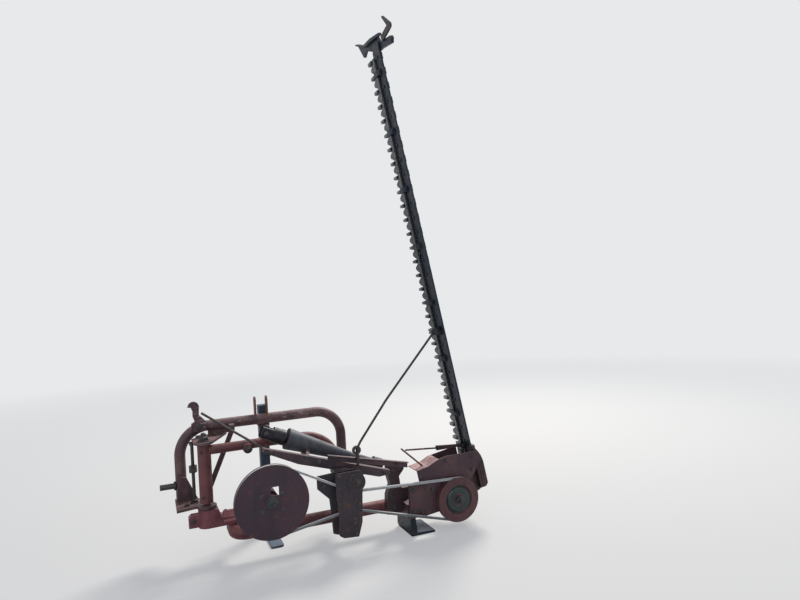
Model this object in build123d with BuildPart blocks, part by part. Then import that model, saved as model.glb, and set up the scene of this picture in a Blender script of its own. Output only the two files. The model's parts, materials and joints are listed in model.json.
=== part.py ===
"""Rear-mounted sickle bar mower, belt driven, with its cutter bar folded up for transport.

X runs to the machine's right, Y forward towards the tractor, Z up from the floor. All sizes are millimetres.
Stations along the machine are measured from the driven pulley's axis and from the belt's mid plane.
"""

import os
from math import asin, atan2, cos, hypot, pi, radians, sin, tan

from build123d import *

os.makedirs("parts", exist_ok=True)

# Clearances
seat_gap = 0.3
running_gap = 0.05
pin_gap = 0.05

# Hitch hoop and its pins
hoop_tube_d = 53
hoop_tube_wall = 5
hoop_span = 842
hoop_forward = 450
hoop_left_station = -1317
hoop_top_height = 618
hoop_bend_radius = 140
hitch_pin_d = 28
hitch_pin_height = 337
hitch_pin_length = 66
hitch_shoulder_d = 44
hitch_shoulder_length = 8
linch_hole_d = 11
linch_hole_inset = 14
ear_thickness = 8
ear_width = 40
ear_gap = 52
ear_rise = 120
ear_hole_inset = 24
ear_hole_d = 19.5
ear_station = -905
lever_thickness = 14
lift_rod_d = 12

# Parking stand
stand_station = -888
stand_width = 48
stand_depth = 50
stand_wall = 5
stand_rise = 64
stand_foot_length = 276
stand_foot_width = 64
stand_foot_thickness = 10
stand_foot_corner = 14
sleeve_wall = 5
sleeve_length = 90
sleeve_rise = 12
sleeve_gap = 0.5
stand_travel = 300

# Breakaway swivel
post_station = -1211
post_forward = 300
post_d = 63
post_bottom_height = 275
spigot_d = 30
spigot_end = 14
swing_plate_thickness = 12
swing_plate_gap = 6
web_length = 104
web_height = 21.5
brace_width = 26
brace_thickness = 10
brace_setback = 62
brace_head_inset = 10
brace_head_length = 60
gusset_thickness = 9
gusset_height = 128
gusset_fall = 12
tie_station = -1262
tie_forward = 372
tie_d = 16
tie_knob_radius = 19
tie_knob_length = 34
lower_plate_height = 250
foot_boss_d = 84
foot_bottom_height = 158
foot_plate_height = 44
foot_plate_thickness = 9
latch_left_station = -1298
latch_bottom = 166
latch_top = 226
latch_depth = 40
latch_corner = 12

# Main pipe and the tube above it
pipe_d = 64
pipe_wall = 7
pipe_forward = 205
pipe_height = 125
pipe_elbow_station = -1090
pipe_elbow_radius = 60
pipe_start_forward = 330
mid_tube_d = 46
mid_tube_wall = 5
mid_tube_drop = 27
mid_tube_rise = 2
mid_tube_right_station = -547
mid_tube_bend_radius = 175
saddle_thickness = 12
saddle_length = 66
saddle_overhang = 30
saddle_corner = 12
lug_station = -1008
lug_drop = 13
lug_radius = 23
lug_thickness = 16
lug_pin_d = 18
lug_pin_length = 22

# Lift beam, channel and upright
beam_rear = 90
beam_width = 40
beam_depth = 46
beam_slope = 17.2
beam_left_station = -960
beam_left_depth = 20
beam_full_station = -800
beam_right_station = -331
beam_nose_length = 60
beam_top_station = -381
beam_top_height = 361
channel_depth = 30
channel_width = 24
channel_wall = 4
channel_left_station = -655
channel_left_height = 468
channel_right_station = -236
channel_right_height = 370
upright_rear = 130
upright_width = 43
upright_corner = 7

# Belt drive
belt_width = 15
belt_thickness = 10
drive_station = -950
drive_height = 315
drive_radius = 170
drive_rim_width = 30
driven_height = 159
driven_radius = 114
driven_rim_width = 28
idler_radius = 44
idler_width = 24
upper_idler = (-550, 344)
lower_idler = (-575, 161)
groove_depth = 12
rim_wall = 9
web_thickness = 7
hub_radius = 28
hub_length = 18
slot_out = 13
slot_up = 50
slot_width = 38
slot_height = 40
input_shaft_d = 35
input_shaft_reach = 320
input_end_radius = 20
input_end_length = 64
bearing_tube_d = 76
bearing_rear = 46
bearing_front = 244
pedestal_depth = 40
driven_ring_radius = 76
idler_stud_d = 20
cover_thickness = 5
cover_rear = -24
cover_boss = 6
backplate_rear = 20
backplate_thickness = 8
bracket_upper = (-610, 392)
bracket_lower_station = -600
housing_corner = 8

# Hinge yoke at the head
yoke_rear = 28
arm_thickness = 24
yoke_inner_width = 154
crosshead_left = -262
crosshead_width = 62
crosshead_bottom = 95
crosshead_depth = 66
arm_boss_radius = 44
trunnion_d = 60
trunnion_length = 32
head_shaft_d = 30
disc_setback = 12
disc_width = 26
disc_radius = 62
skid_left = -250
skid_width = 130
skid_thickness = 10
skid_web = 24

# Cutter bar, measured out from the hinge axis along the bar, and up from it across the bar
bar_lean = 10.7
bar_under = -160
bar_thickness = 10
bar_rear = 32
bar_width = 75
bar_start = 120
bar_end_margin = 26.5
bar_taper = 14
guard_pitch = 76.2
guard_count = 28
guard_first = 250
guard_width = 34
guard_lip_width = 14
guard_wing = 22
guard_wing_gap = 0.6
guard_reach = 121
guard_tail = 45
guard_tail_thickness = 12
guard_root_depth = 18
guard_keel_depth = 15
guard_keel_reach = 56
guard_ledge_reach = 92
guard_lip_start = 44
guard_lip_thickness = 5
guard_rib_half = 10
knife_gap = 1.0
section_thickness = 3
section_length = 76
section_tip_width = 14
knife_back_width = 18
knife_back_thickness = 6
knife_stroke = 76.2
clip_width = 30
clip_thickness = 5
clip_reach = 8
clip_every = 4
hood_rear = 19
hood_wall = 4
hood_depth = 109
shoe_ear_thickness = 24
shoe_sole = -205
shoe_toe = 8
shoe_rear = 56
shoe_front = 200
shoe_seat_thickness = 16
shoe_runner_front = 250
shoe_runner_width = 224
shoe_runner_wall = 14
strap_inset = 12
strap_thickness = 10
strap_rod_radius = 4.5
outer_shoe_thickness = 16
stick_heel_inset = 119
stick_half_width = 14
stick_thickness = 10

# Transport rod
rod_d = 12
rod_forward = 50
rod_eye_station = -515
rod_eye_height = 483
eye_shank_d = 14
eye_block_height = 362
rod_bend_station = -496
rod_bend_height = 516
rod_middle_station = -346
rod_middle_height = 708
rod_middle_radius = 600
rod_length = 421
rod_angle = 48.3
rod_ring_radius = 10
rod_ring_outer = 21.5
eye_wire_d = 8
eye_inner = 14
rod_peg_bend = 14
peg_length = 38

# Stored driveline
line_forward = 215
line_slope = 23
line_station = -825
line_height = 546
cone_radius = 53
cone_length = 350
line_tube_radius = 24
line_tube_length = 130
line_collar_radius = 34
line_inner_radius = 18
yoke_length = 62
yoke_radius = 38
fork_width = 64
fork_depth = 56
fork_slot = 34

# Heights that follow the hoop's top tube
hoop_under_height = hoop_top_height - hoop_tube_d / 2
ear_top_height = hoop_top_height + ear_rise
ear_hole_height = ear_top_height - ear_hole_inset
stand_top_height = hoop_top_height + stand_rise
upper_plate_height = hoop_under_height - web_height - swing_plate_thickness
post_top_height = upper_plate_height - swing_plate_gap
mid_tube_left_height = post_top_height - mid_tube_drop
mid_tube_right_height = mid_tube_left_height + mid_tube_rise
lug_height = mid_tube_left_height - lug_drop

# The origin is midway across the whole machine and midway along it
reach_left = -hoop_left_station + hoop_tube_d / 2 + hitch_shoulder_length + hitch_pin_length
reach_right = -shoe_sole * cos(radians(bar_lean)) - shoe_toe * sin(radians(bar_lean))
reach_rear = stick_heel_inset + stick_half_width
stand_forward = hoop_forward + hoop_tube_d / 2 + seat_gap + sleeve_wall + sleeve_gap + stand_depth / 2
reach_front = stand_forward + stand_depth / 2 + sleeve_gap + sleeve_wall
head_x = (reach_left - reach_right) / 2
belt_y = (reach_rear - reach_front) / 2


def at_x(station):
    """X of a station measured from the driven pulley's axis."""
    return head_x + station


def at_y(forward):
    """Y of a distance measured forward from the belt's mid plane."""
    return belt_y + forward


def side_plane(forward):
    """Upright plane across the machine; sketches on it use X from the head and Z, and extrude rearwards."""
    return Plane(origin=(head_x, at_y(forward), 0), x_dir=(1, 0, 0), z_dir=(0, -1, 0))


def floor_plane(height):
    """Level plane whose sketches use X and Y from the head and the belt, and extrude upwards."""
    return Plane(origin=(head_x, belt_y, height), x_dir=(1, 0, 0), z_dir=(0, 0, 1))


def turning_plane(station, height):
    """Plane for turned profiles: its x is the distance forward, its y the radius."""
    return Plane(origin=(at_x(station), belt_y, height), x_dir=(0, 1, 0), z_dir=(1, 0, 0))


def turning_axis(station, height):
    return Axis((at_x(station), belt_y, height), (0, 1, 0))


# The bar's own directions: out along the bar, and up from its working face
lean = radians(bar_lean)
out = Vector(-sin(lean), 0, cos(lean))
up = Vector(-cos(lean), 0, -sin(lean))
hinge = Vector(head_x, belt_y, driven_height)


def bar_side(forward):
    """Plane across the bar's hinge; sketches use distance out and up, and extrude rearwards."""
    return Plane(origin=hinge + Vector(0, forward, 0), x_dir=out, z_dir=(0, -1, 0))


def bar_flat(height):
    """Plane along the bar; sketches use distance out and forward, and extrude upwards off the bar."""
    return Plane(origin=hinge + up * height, x_dir=out, z_dir=up)


def guard_section_plane(distance):
    """Plane square to the bar; sketches use distance forward and up, and extrude outwards."""
    return Plane(origin=hinge + out * distance, x_dir=(0, 1, 0), z_dir=out)


# Hitch hoop: one bent tube, open at its two feet
hoop_foot_height = lower_plate_height + swing_plate_thickness
hoop_right_station = hoop_left_station + hoop_span
with BuildPart() as hitch_hoop:
    with BuildLine(side_plane(hoop_forward)) as hoop_line:
        FilletPolyline(
            (hoop_left_station, hoop_foot_height + seat_gap),
            (hoop_left_station, hoop_top_height),
            (hoop_right_station, hoop_top_height),
            (hoop_right_station, hoop_foot_height),
            radius=hoop_bend_radius,
        )
    with BuildSketch(Plane(origin=hoop_line.line @ 0, z_dir=hoop_line.line % 0)):
        Circle(hoop_tube_d / 2)
        Circle(hoop_tube_d / 2 - hoop_tube_wall, mode=Mode.SUBTRACT)
    sweep(path=hoop_line.line)

# Lower hitch pins: a shoulder against each leg, and the pin beyond it
with BuildPart() as hitch_pins:
    for side, leg_station in ((-1, hoop_left_station), (1, hoop_right_station)):
        face_x = at_x(leg_station + side * (hoop_tube_d / 2 + seat_gap))
        seat = Plane(origin=(face_x, at_y(hoop_forward), hitch_pin_height), z_dir=(side, 0, 0))
        with BuildSketch(seat):
            Circle(hitch_shoulder_d / 2)
        extrude(amount=hitch_shoulder_length)
        with BuildSketch(seat.offset(hitch_shoulder_length)):
            Circle(hitch_pin_d / 2)
        extrude(amount=hitch_pin_length - seat_gap)
        hole_x = face_x + side * (hitch_shoulder_length + hitch_pin_length - linch_hole_inset)
        with BuildSketch(Plane(origin=(hole_x, at_y(hoop_forward), hitch_pin_height), z_dir=(0, 0, 1))):
            Circle(linch_hole_d / 2)
        extrude(amount=hitch_pin_d, both=True, mode=Mode.SUBTRACT)

# Two ears on the hoop for the top link
with BuildPart() as top_link_ears:
    for side in (-1, 1):
        inner_station = ear_station + side * ear_gap / 2
        ear_side = Plane(
            origin=(at_x(inner_station + (0 if side > 0 else -ear_thickness)), at_y(hoop_forward), 0),
            x_dir=(0, 1, 0),
            z_dir=(1, 0, 0),
        )
        with BuildSketch(ear_side):
            with BuildLine():
                ear_half = ear_width / 2
                ear_crown = ear_top_height - ear_half
                Polyline((-ear_half, ear_crown), (-ear_half, hoop_top_height), (ear_half, hoop_top_height),
                         (ear_half, ear_crown))
                ThreePointArc((ear_half, ear_crown), (0, ear_top_height), (-ear_half, ear_crown))
            make_face()
            with Locations((0, hoop_top_height)):
                Circle(hoop_tube_d / 2 + seat_gap, mode=Mode.SUBTRACT)
            with Locations((0, ear_hole_height)):
                Circle(ear_hole_d / 2, mode=Mode.SUBTRACT)
        extrude(amount=ear_thickness)

# Plates that carry the swivel post between them
with BuildPart() as upper_swing_plate:
    with BuildSketch(floor_plane(upper_plate_height)):
        with BuildLine():
            Polyline((post_station - 45, post_forward - 10), (post_station - 50, hoop_forward - 60),
                     (post_station - 26, hoop_forward - 34), (post_station - 26, hoop_forward + 18),
                     (post_station + 128, hoop_forward + 18), (post_station + 45, post_forward - 10))
            ThreePointArc((post_station + 45, post_forward - 10), (post_station, post_forward - 46),
                          (post_station - 45, post_forward - 10))
        make_face()
        with Locations((post_station, post_forward)):
            Circle(spigot_d / 2 + pin_gap, mode=Mode.SUBTRACT)
    extrude(amount=swing_plate_thickness)
    web_top = hoop_under_height - seat_gap
    web_bottom = upper_plate_height + swing_plate_thickness
    with BuildSketch(floor_plane(web_bottom)):
        with Locations((hoop_left_station + hoop_bend_radius + web_length / 2, hoop_forward)):
            Rectangle(web_length, ear_thickness)
    extrude(amount=web_top - web_bottom)

with BuildPart() as lower_swing_plate:
    with BuildSketch(floor_plane(lower_plate_height)):
        with BuildLine():
            leg_half = hoop_tube_d / 2 + 6
            Polyline((post_station + 46, post_forward), (post_station + 10, hoop_forward - 60),
                     (hoop_left_station + leg_half, hoop_forward + leg_half),
                     (hoop_left_station - leg_half, hoop_forward + leg_half),
                     (hoop_left_station - leg_half, post_forward - 20), (post_station - 46, post_forward))
            ThreePointArc((post_station - 46, post_forward), (post_station, post_forward - 46),
                          (post_station + 46, post_forward))
        make_face()
        with Locations((post_station, post_forward)):
            Circle(spigot_d / 2 + pin_gap, mode=Mode.SUBTRACT)
    extrude(amount=swing_plate_thickness)
    gusset_front = hoop_forward - hoop_tube_d / 2 - seat_gap
    gusset_foot = lower_plate_height + swing_plate_thickness
    with BuildSketch(side_plane(gusset_front)):
        with BuildLine():
            gusset_top = gusset_foot + gusset_height
            Polyline((hoop_left_station - 20, gusset_foot), (hoop_left_station - 20, gusset_top),
                     (hoop_left_station + 24, gusset_top - gusset_fall), (post_station - 30, gusset_foot),
                     close=True)
        make_face()
    extrude(amount=gusset_thickness)

# Flat brace from the hoop's top tube down to the lower plate, outside the post's sweep
with BuildPart() as brace_bar:
    brace_low = (post_station - 14, lower_plate_height + swing_plate_thickness)
    brace_high = (post_station + 133, hoop_under_height)
    with BuildSketch(side_plane(hoop_forward - brace_setback)):
        with BuildLine():
            Polyline(brace_low, (brace_low[0] + brace_width, brace_low[1]),
                     (brace_high[0] + brace_width, brace_high[1]),
                     (brace_high[0] + brace_width, hoop_top_height), (brace_high[0], hoop_top_height),
                     brace_high, close=True)
        make_face()
    extrude(amount=brace_thickness)
    with BuildSketch(side_plane(hoop_forward - brace_head_inset)):
        with Locations((brace_high[0] + brace_width / 2, (hoop_under_height + hoop_top_height) / 2)):
            Rectangle(brace_width, hoop_top_height - hoop_under_height)
    extrude(amount=brace_head_length)
    hoop_middle = (at_x(post_station), at_y(hoop_forward), hoop_top_height)
    with BuildSketch(Plane(origin=hoop_middle, z_dir=(1, 0, 0))):
        Circle(hoop_tube_d / 2 + seat_gap)
    extrude(amount=3 * web_length, mode=Mode.SUBTRACT)

# Threaded tie with its knob, between the two plates near the left leg
with BuildPart() as latch_tie:
    tie_bottom = lower_plate_height + swing_plate_thickness
    with BuildSketch(floor_plane(tie_bottom)):
        with Locations((tie_station, tie_forward)):
            Circle(tie_d / 2)
    extrude(amount=upper_plate_height - tie_bottom)
    with BuildSketch(floor_plane((tie_bottom + upper_plate_height) / 2)):
        with Locations((tie_station, tie_forward)):
            RegularPolygon(tie_knob_radius, 6)
    extrude(amount=tie_knob_length)

# Hooked lever on the hoop's left shoulder: its outline's points lie to the right of the left leg's axis, and up
# from the top tube's axis
lever_right = [(60, -18), (131, -18), (131, 28), (98, 64), (101, 106)]
lever_crown = (77, 132)
lever_left = [(51, 120), (45, 106), (61, 104), (69, 84), (68, 59), (77, 32), (60, 22), (60, -18)]
lever_forward = hoop_forward - hoop_tube_d / 2 - seat_gap
lever_rear = lever_forward - lever_thickness
with BuildPart() as lift_lever:
    shoulder = (at_x(hoop_left_station), at_y(lever_forward), hoop_top_height)
    with BuildSketch(Plane(origin=shoulder, x_dir=(1, 0, 0), z_dir=(0, -1, 0))):
        with BuildLine():
            Polyline(*lever_right)
            ThreePointArc(lever_right[-1], lever_crown, lever_left[0])
            Polyline(*lever_left)
        make_face()
    extrude(amount=lever_thickness)

# Parking stand in its sleeve
with BuildPart() as stand_sleeve:
    with BuildSketch(floor_plane(hoop_top_height - sleeve_length / 2)):
        with Locations((stand_station, stand_forward)):
            bore_width = stand_width + 2 * sleeve_gap
            bore_depth = stand_depth + 2 * sleeve_gap
            Rectangle(bore_width + 2 * sleeve_wall, bore_depth + 2 * sleeve_wall)
            Rectangle(bore_width, bore_depth, mode=Mode.SUBTRACT)
    extrude(amount=sleeve_length / 2 + sleeve_rise)

with BuildPart() as parking_stand:
    with BuildSketch(floor_plane(stand_foot_thickness)):
        with Locations((stand_station, stand_forward)):
            Rectangle(stand_width, stand_depth)
            Rectangle(stand_width - 2 * stand_wall, stand_depth - 2 * stand_wall, mode=Mode.SUBTRACT)
    extrude(amount=stand_top_height - stand_foot_thickness)
    with BuildSketch(floor_plane(0)):
        foot_middle = stand_forward + stand_depth / 2 - stand_foot_length / 2
        with Locations((stand_station, foot_middle)):
            RectangleRounded(stand_foot_width, stand_foot_length, stand_foot_corner)
    extrude(amount=stand_foot_thickness)

# Swivel post: a tube closed by turned ends, with a spigot in each plate
with BuildPart() as swivel_post:
    with BuildSketch(floor_plane(post_bottom_height)):
        with Locations((post_station, post_forward)):
            Circle(post_d / 2)
    extrude(amount=post_top_height - post_bottom_height)
    with BuildSketch(floor_plane(post_top_height)):
        with Locations((post_station, post_forward)):
            Circle(spigot_d / 2)
    extrude(amount=swing_plate_gap + swing_plate_thickness + spigot_end)
    with BuildSketch(floor_plane(lower_plate_height - swing_plate_gap)):
        with Locations((post_station, post_forward)):
            Circle(spigot_d / 2)
    extrude(amount=post_bottom_height - lower_plate_height + swing_plate_gap)

# Foot casting: boss under the post, the arm that takes the main pipe, and the latch's channel at its left
foot_top_height = lower_plate_height - swing_plate_gap
with BuildPart() as post_foot:
    with BuildSketch(floor_plane(foot_bottom_height)):
        with BuildLine():
            boss = foot_boss_d / 2
            arm_end = pipe_elbow_station + 40
            Polyline((post_station, post_forward - boss), (arm_end, post_forward - boss + 6),
                     (arm_end, post_forward + boss - 6), (post_station, post_forward + boss))
            ThreePointArc((post_station, post_forward + boss), (post_station - boss, post_forward),
                          (post_station, post_forward - boss))
        make_face()
    extrude(amount=foot_top_height - foot_bottom_height)
    with BuildSketch(side_plane(post_forward + boss)):
        with BuildLine():
            Polyline((post_station + boss + 6, foot_top_height), (arm_end, foot_top_height),
                     (arm_end, foot_bottom_height + 34), (post_station + boss + 22, foot_bottom_height + 44),
                     close=True)
        make_face()
    extrude(amount=2 * boss, mode=Mode.SUBTRACT)
    with BuildSketch(side_plane(post_forward + latch_depth / 2)):
        with BuildLine():
            Polyline((latch_left_station, latch_bottom), (post_station, latch_bottom),
                     (post_station, latch_top), (latch_left_station + latch_corner, latch_top),
                     (latch_left_station, latch_top - latch_corner), close=True)
        make_face()
    extrude(amount=latch_depth)
    foot_plate_left = post_station + boss + 30
    foot_plate_corner = (at_x(foot_plate_left), belt_y, latch_bottom)
    with BuildSketch(Plane(origin=foot_plate_corner, x_dir=(0, 1, 0), z_dir=(1, 0, 0))):
        with BuildLine():
            plate_rear = post_forward - boss + 6 - foot_plate_thickness
            Polyline((plate_rear, 4), (plate_rear, 12), (plate_rear + 30, foot_plate_height + 12),
                     (plate_rear + 44, foot_plate_height + 12), (plate_rear + 44, 4), close=True)
        make_face()
    extrude(amount=arm_end - foot_plate_left)

# Main pipe: from under the foot casting rearwards, round its elbow and along to the yoke
pipe_end = crosshead_left - seat_gap
crosshead_top = crosshead_bottom + crosshead_depth
with BuildPart() as main_pipe:
    with BuildLine(floor_plane(pipe_height)) as pipe_line:
        FilletPolyline(
            (pipe_elbow_station, pipe_start_forward),
            (pipe_elbow_station, pipe_forward),
            (pipe_end, pipe_forward),
            radius=pipe_elbow_radius,
        )
    with BuildSketch(Plane(origin=pipe_line.line @ 0, z_dir=pipe_line.line % 0)):
        Circle(pipe_d / 2)
        Circle(pipe_d / 2 - pipe_wall, mode=Mode.SUBTRACT)
    sweep(path=pipe_line.line)

# Mid tube: from the post, over the drive, and down to a saddle on the main pipe
pipe_top = pipe_height + pipe_d / 2
with BuildPart() as mid_tube:
    with BuildLine(side_plane(post_forward)) as mid_line:
        FilletPolyline(
            (post_station, mid_tube_left_height),
            (mid_tube_right_station, mid_tube_right_height),
            (mid_tube_right_station, pipe_top + saddle_thickness / 2),
            radius=mid_tube_bend_radius,
        )
    with BuildSketch(Plane(origin=mid_line.line @ 0, z_dir=mid_line.line % 0)):
        Circle(mid_tube_d / 2)
        Circle(mid_tube_d / 2 - mid_tube_wall, mode=Mode.SUBTRACT)
    sweep(path=mid_line.line)
    with BuildSketch(floor_plane(mid_tube_left_height - 2 * mid_tube_d)):
        with Locations((post_station, post_forward)):
            Circle(post_d / 2 + seat_gap)
    extrude(amount=4 * mid_tube_d, mode=Mode.SUBTRACT)
    with BuildSketch(floor_plane(pipe_top + seat_gap)):
        with Locations((mid_tube_right_station, (pipe_forward + post_forward) / 2)):
            RectangleRounded(saddle_length, post_forward - pipe_forward + 2 * saddle_overhang, saddle_corner)
    extrude(amount=saddle_thickness - seat_gap)

# Round lug welded to the mid tube, with its stub pin
tube_rear = post_forward - mid_tube_d / 2
lug_root = 8
with mid_tube:
    with BuildSketch(side_plane(tube_rear + lug_root)):
        with Locations((lug_station, lug_height)):
            Circle(lug_radius)
    extrude(amount=lug_thickness + lug_root)
    with BuildSketch(side_plane(tube_rear - lug_thickness)):
        with Locations((lug_station, lug_height)):
            Circle(lug_pin_d / 2)
    extrude(amount=lug_pin_length)


def beam_top(station):
    """Height of the lift beam's upper face at a station."""
    return beam_top_height + (beam_top_station - station) * tan(radians(beam_slope))


beam_drop = beam_depth / cos(radians(beam_slope))
with BuildPart() as lift_beam:
    with BuildSketch(side_plane(beam_rear + beam_width)):
        with BuildLine():
            nose = beam_right_station - beam_nose_length
            Polyline((beam_left_station, beam_top(beam_left_station)),
                     (beam_right_station, beam_top(beam_right_station) - 6),
                     (beam_right_station, beam_top(beam_right_station) - 26),
                     (nose, beam_top(nose) - beam_drop),
                     (beam_full_station, beam_top(beam_full_station) - beam_drop),
                     (beam_left_station, beam_top(beam_left_station) - beam_left_depth), close=True)
        make_face()
    extrude(amount=beam_width)

# Upper channel: an angle with its light upper flange, on the beam's rear face
channel_fall = channel_left_height - channel_right_height
channel_angle = atan2(channel_fall, channel_right_station - channel_left_station)
channel_drop = channel_depth / cos(channel_angle)
with BuildPart() as upper_channel:
    with BuildSketch(side_plane(beam_rear - seat_gap)):
        with BuildLine():
            Polyline((channel_left_station, channel_left_height), (channel_right_station, channel_right_height),
                     (channel_right_station, channel_right_height - channel_drop),
                     (channel_left_station, channel_left_height - channel_drop), close=True)
        make_face()
    extrude(amount=channel_width)
    with BuildSketch(side_plane(beam_rear - seat_gap - channel_wall)):
        with BuildLine():
            Polyline((channel_left_station, channel_left_height - channel_wall),
                     (channel_right_station, channel_right_height - channel_wall),
                     (channel_right_station, channel_right_height - channel_drop),
                     (channel_left_station, channel_left_height - channel_drop), close=True)
        make_face()
    extrude(amount=channel_width, mode=Mode.SUBTRACT)

# Upright casting between the pipe and the beam's right end: its right edge from the top down, and its left edge
# from the bottom up, as station and height
upright_right = [(-238, 352), (-240, 322), (-268, 290), (-262, 236), (-232, 200)]
upright_left = [(-344, 100), (-338, 200), (-318, 250), (-330, 300), (-330, 352)]
upright_seat = crosshead_top + seat_gap
with BuildPart() as upright:
    with BuildSketch(side_plane(upright_rear + upright_width - seat_gap)):
        with BuildLine():
            Polyline(*upright_right, (-220, upright_seat), (pipe_end, upright_seat),
                     (pipe_end, upright_left[0][1]), *upright_left, close=True)
        make_face()
    extrude(amount=upright_width - seat_gap)
    outer_corners = [edge for edge in upright.edges().filter_by(Axis.Y)
                     if abs(edge.center().Z - upright_seat) > 1]
    fillet(outer_corners, radius=upright_corner)

# Belt pulleys, turned
def rim_profile(radius, half, depth):
    """The grooved rim's points from its rear corner to its front corner, as (forward, radius)."""
    mouth = belt_width / 2 + 2
    floor = belt_width / 2
    return [(-half, radius), (-mouth, radius), (-floor, radius - depth), (floor, radius - depth),
            (mouth, radius), (half, radius)]


drive_half = drive_rim_width / 2
drive_rim_inner = drive_radius - groove_depth - rim_wall
with BuildPart() as drive_pulley:
    with BuildSketch(turning_plane(drive_station, drive_height)):
        with BuildLine():
            bore = input_shaft_d / 2 + running_gap / 2
            Polyline((-drive_half, bore), *rim_profile(drive_radius, drive_half, groove_depth),
                     (drive_half, drive_rim_inner), (-drive_half + web_thickness, drive_rim_inner),
                     (-drive_half + web_thickness, hub_radius), (drive_half + hub_length, hub_radius),
                     (drive_half + hub_length, bore), close=True)
        make_face()
    revolve(axis=turning_axis(drive_station, drive_height))
    with BuildSketch(side_plane(0)):
        with Locations((drive_station + slot_out, drive_height + slot_up)):
            Rectangle(slot_width, slot_height)
    extrude(amount=drive_rim_width, mode=Mode.SUBTRACT)

with BuildPart() as input_shaft:
    with BuildSketch(turning_plane(drive_station, drive_height)):
        with BuildLine():
            shaft_r = input_shaft_d / 2
            Polyline((-32, 0), (-32, 24), (-drive_half - seat_gap, 24), (-drive_half - seat_gap, shaft_r),
                     (input_shaft_reach - input_end_length, shaft_r),
                     (input_shaft_reach - input_end_length, input_end_radius),
                     (input_shaft_reach - 10, input_end_radius), (input_shaft_reach, input_end_radius - 4),
                     (input_shaft_reach, 0), close=True)
        make_face()
    revolve(axis=turning_axis(drive_station, drive_height))

with BuildPart() as input_bearing:
    with BuildSketch(side_plane(bearing_front)):
        with Locations((drive_station, drive_height)):
            Circle(bearing_tube_d / 2)
    extrude(amount=bearing_front - bearing_rear)
    with BuildSketch(side_plane(pipe_forward + pedestal_depth / 2)):
        with BuildLine():
            Polyline((drive_station - 48, pipe_height), (drive_station + 48, pipe_height),
                     (drive_station + 36, drive_height), (drive_station - 36, drive_height), close=True)
        make_face()
    extrude(amount=pedestal_depth)
    saddle_start = (at_x(drive_station - 60), at_y(pipe_forward), pipe_height)
    with BuildSketch(Plane(origin=saddle_start, z_dir=(1, 0, 0))):
        Circle(pipe_d / 2 + seat_gap)
    extrude(amount=120, mode=Mode.SUBTRACT)
    with BuildSketch(side_plane(bearing_front + 1)):
        with Locations((drive_station, drive_height)):
            Circle(input_shaft_d / 2 + running_gap)
    extrude(amount=bearing_front - bearing_rear + 2, mode=Mode.SUBTRACT)

driven_half = driven_rim_width / 2
with BuildPart() as driven_pulley:
    with BuildSketch(turning_plane(0, driven_height)):
        with BuildLine():
            bore = head_shaft_d / 2 + running_gap / 2
            Polyline((-driven_half - 2, bore), (-driven_half - 2, 30), (-2, 36), (-2, driven_ring_radius - 8),
                     (-driven_half, driven_ring_radius), *rim_profile(driven_radius, driven_half, groove_depth),
                     (driven_half, driven_radius - groove_depth - rim_wall), (6, driven_ring_radius), (6, 34),
                     (driven_half + 2, 30), (driven_half + 2, bore), close=True)
        make_face()
    revolve(axis=turning_axis(0, driven_height))

# Head shaft with the crank disc that drives the knife inside the head
front_arm_rear = yoke_rear + arm_thickness + yoke_inner_width
front_arm_front = front_arm_rear + arm_thickness
disc_rear = yoke_rear + arm_thickness + trunnion_length + disc_setback
with BuildPart() as head_shaft:
    with BuildSketch(turning_plane(0, driven_height)):
        with BuildLine():
            shaft_r = head_shaft_d / 2
            hub_face = -driven_half - 2 - seat_gap
            Polyline((-24, 0), (-24, 22), (hub_face, 22), (hub_face, shaft_r), (disc_rear, shaft_r),
                     (disc_rear, disc_radius), (disc_rear + disc_width, disc_radius),
                     (disc_rear + disc_width, shaft_r), (front_arm_front + 8, shaft_r),
                     (front_arm_front + 8, 0), close=True)
        make_face()
    revolve(axis=turning_axis(0, driven_height))

idler_half = idler_width / 2


def make_idler(station, height):
    """A flat idler wheel with a dished web, turned about its stud."""
    with BuildPart() as wheel:
        with BuildSketch(turning_plane(station, height)):
            with BuildLine():
                bore = idler_stud_d / 2 + pin_gap
                rim = idler_radius - 7
                Polyline((-idler_half, bore), (-idler_half, 20), (-4, 20), (-4, rim), (-idler_half, rim),
                         (-idler_half, idler_radius), (idler_half, idler_radius), (idler_half, rim),
                         (4, rim), (4, 20), (idler_half, 20), (idler_half, bore), close=True)
            make_face()
        revolve(axis=turning_axis(station, height))
    return wheel


upper_idler_wheel = make_idler(*upper_idler)
lower_idler_wheel = make_idler(*lower_idler)

# V-belt: over both pulleys and inside the two idlers, as tangent lines and arcs
belt_seat = groove_depth - belt_thickness / 2 - seat_gap
wheels = [
    # centre, belt line's radius, side of the belt's path on which the wheel lies
    ((drive_station, drive_height), drive_radius - belt_seat, -1),
    (upper_idler, idler_radius + seat_gap + belt_thickness / 2, 1),
    ((0, driven_height), driven_radius - belt_seat, -1),
    (lower_idler, idler_radius + seat_gap + belt_thickness / 2, 1),
]


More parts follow.
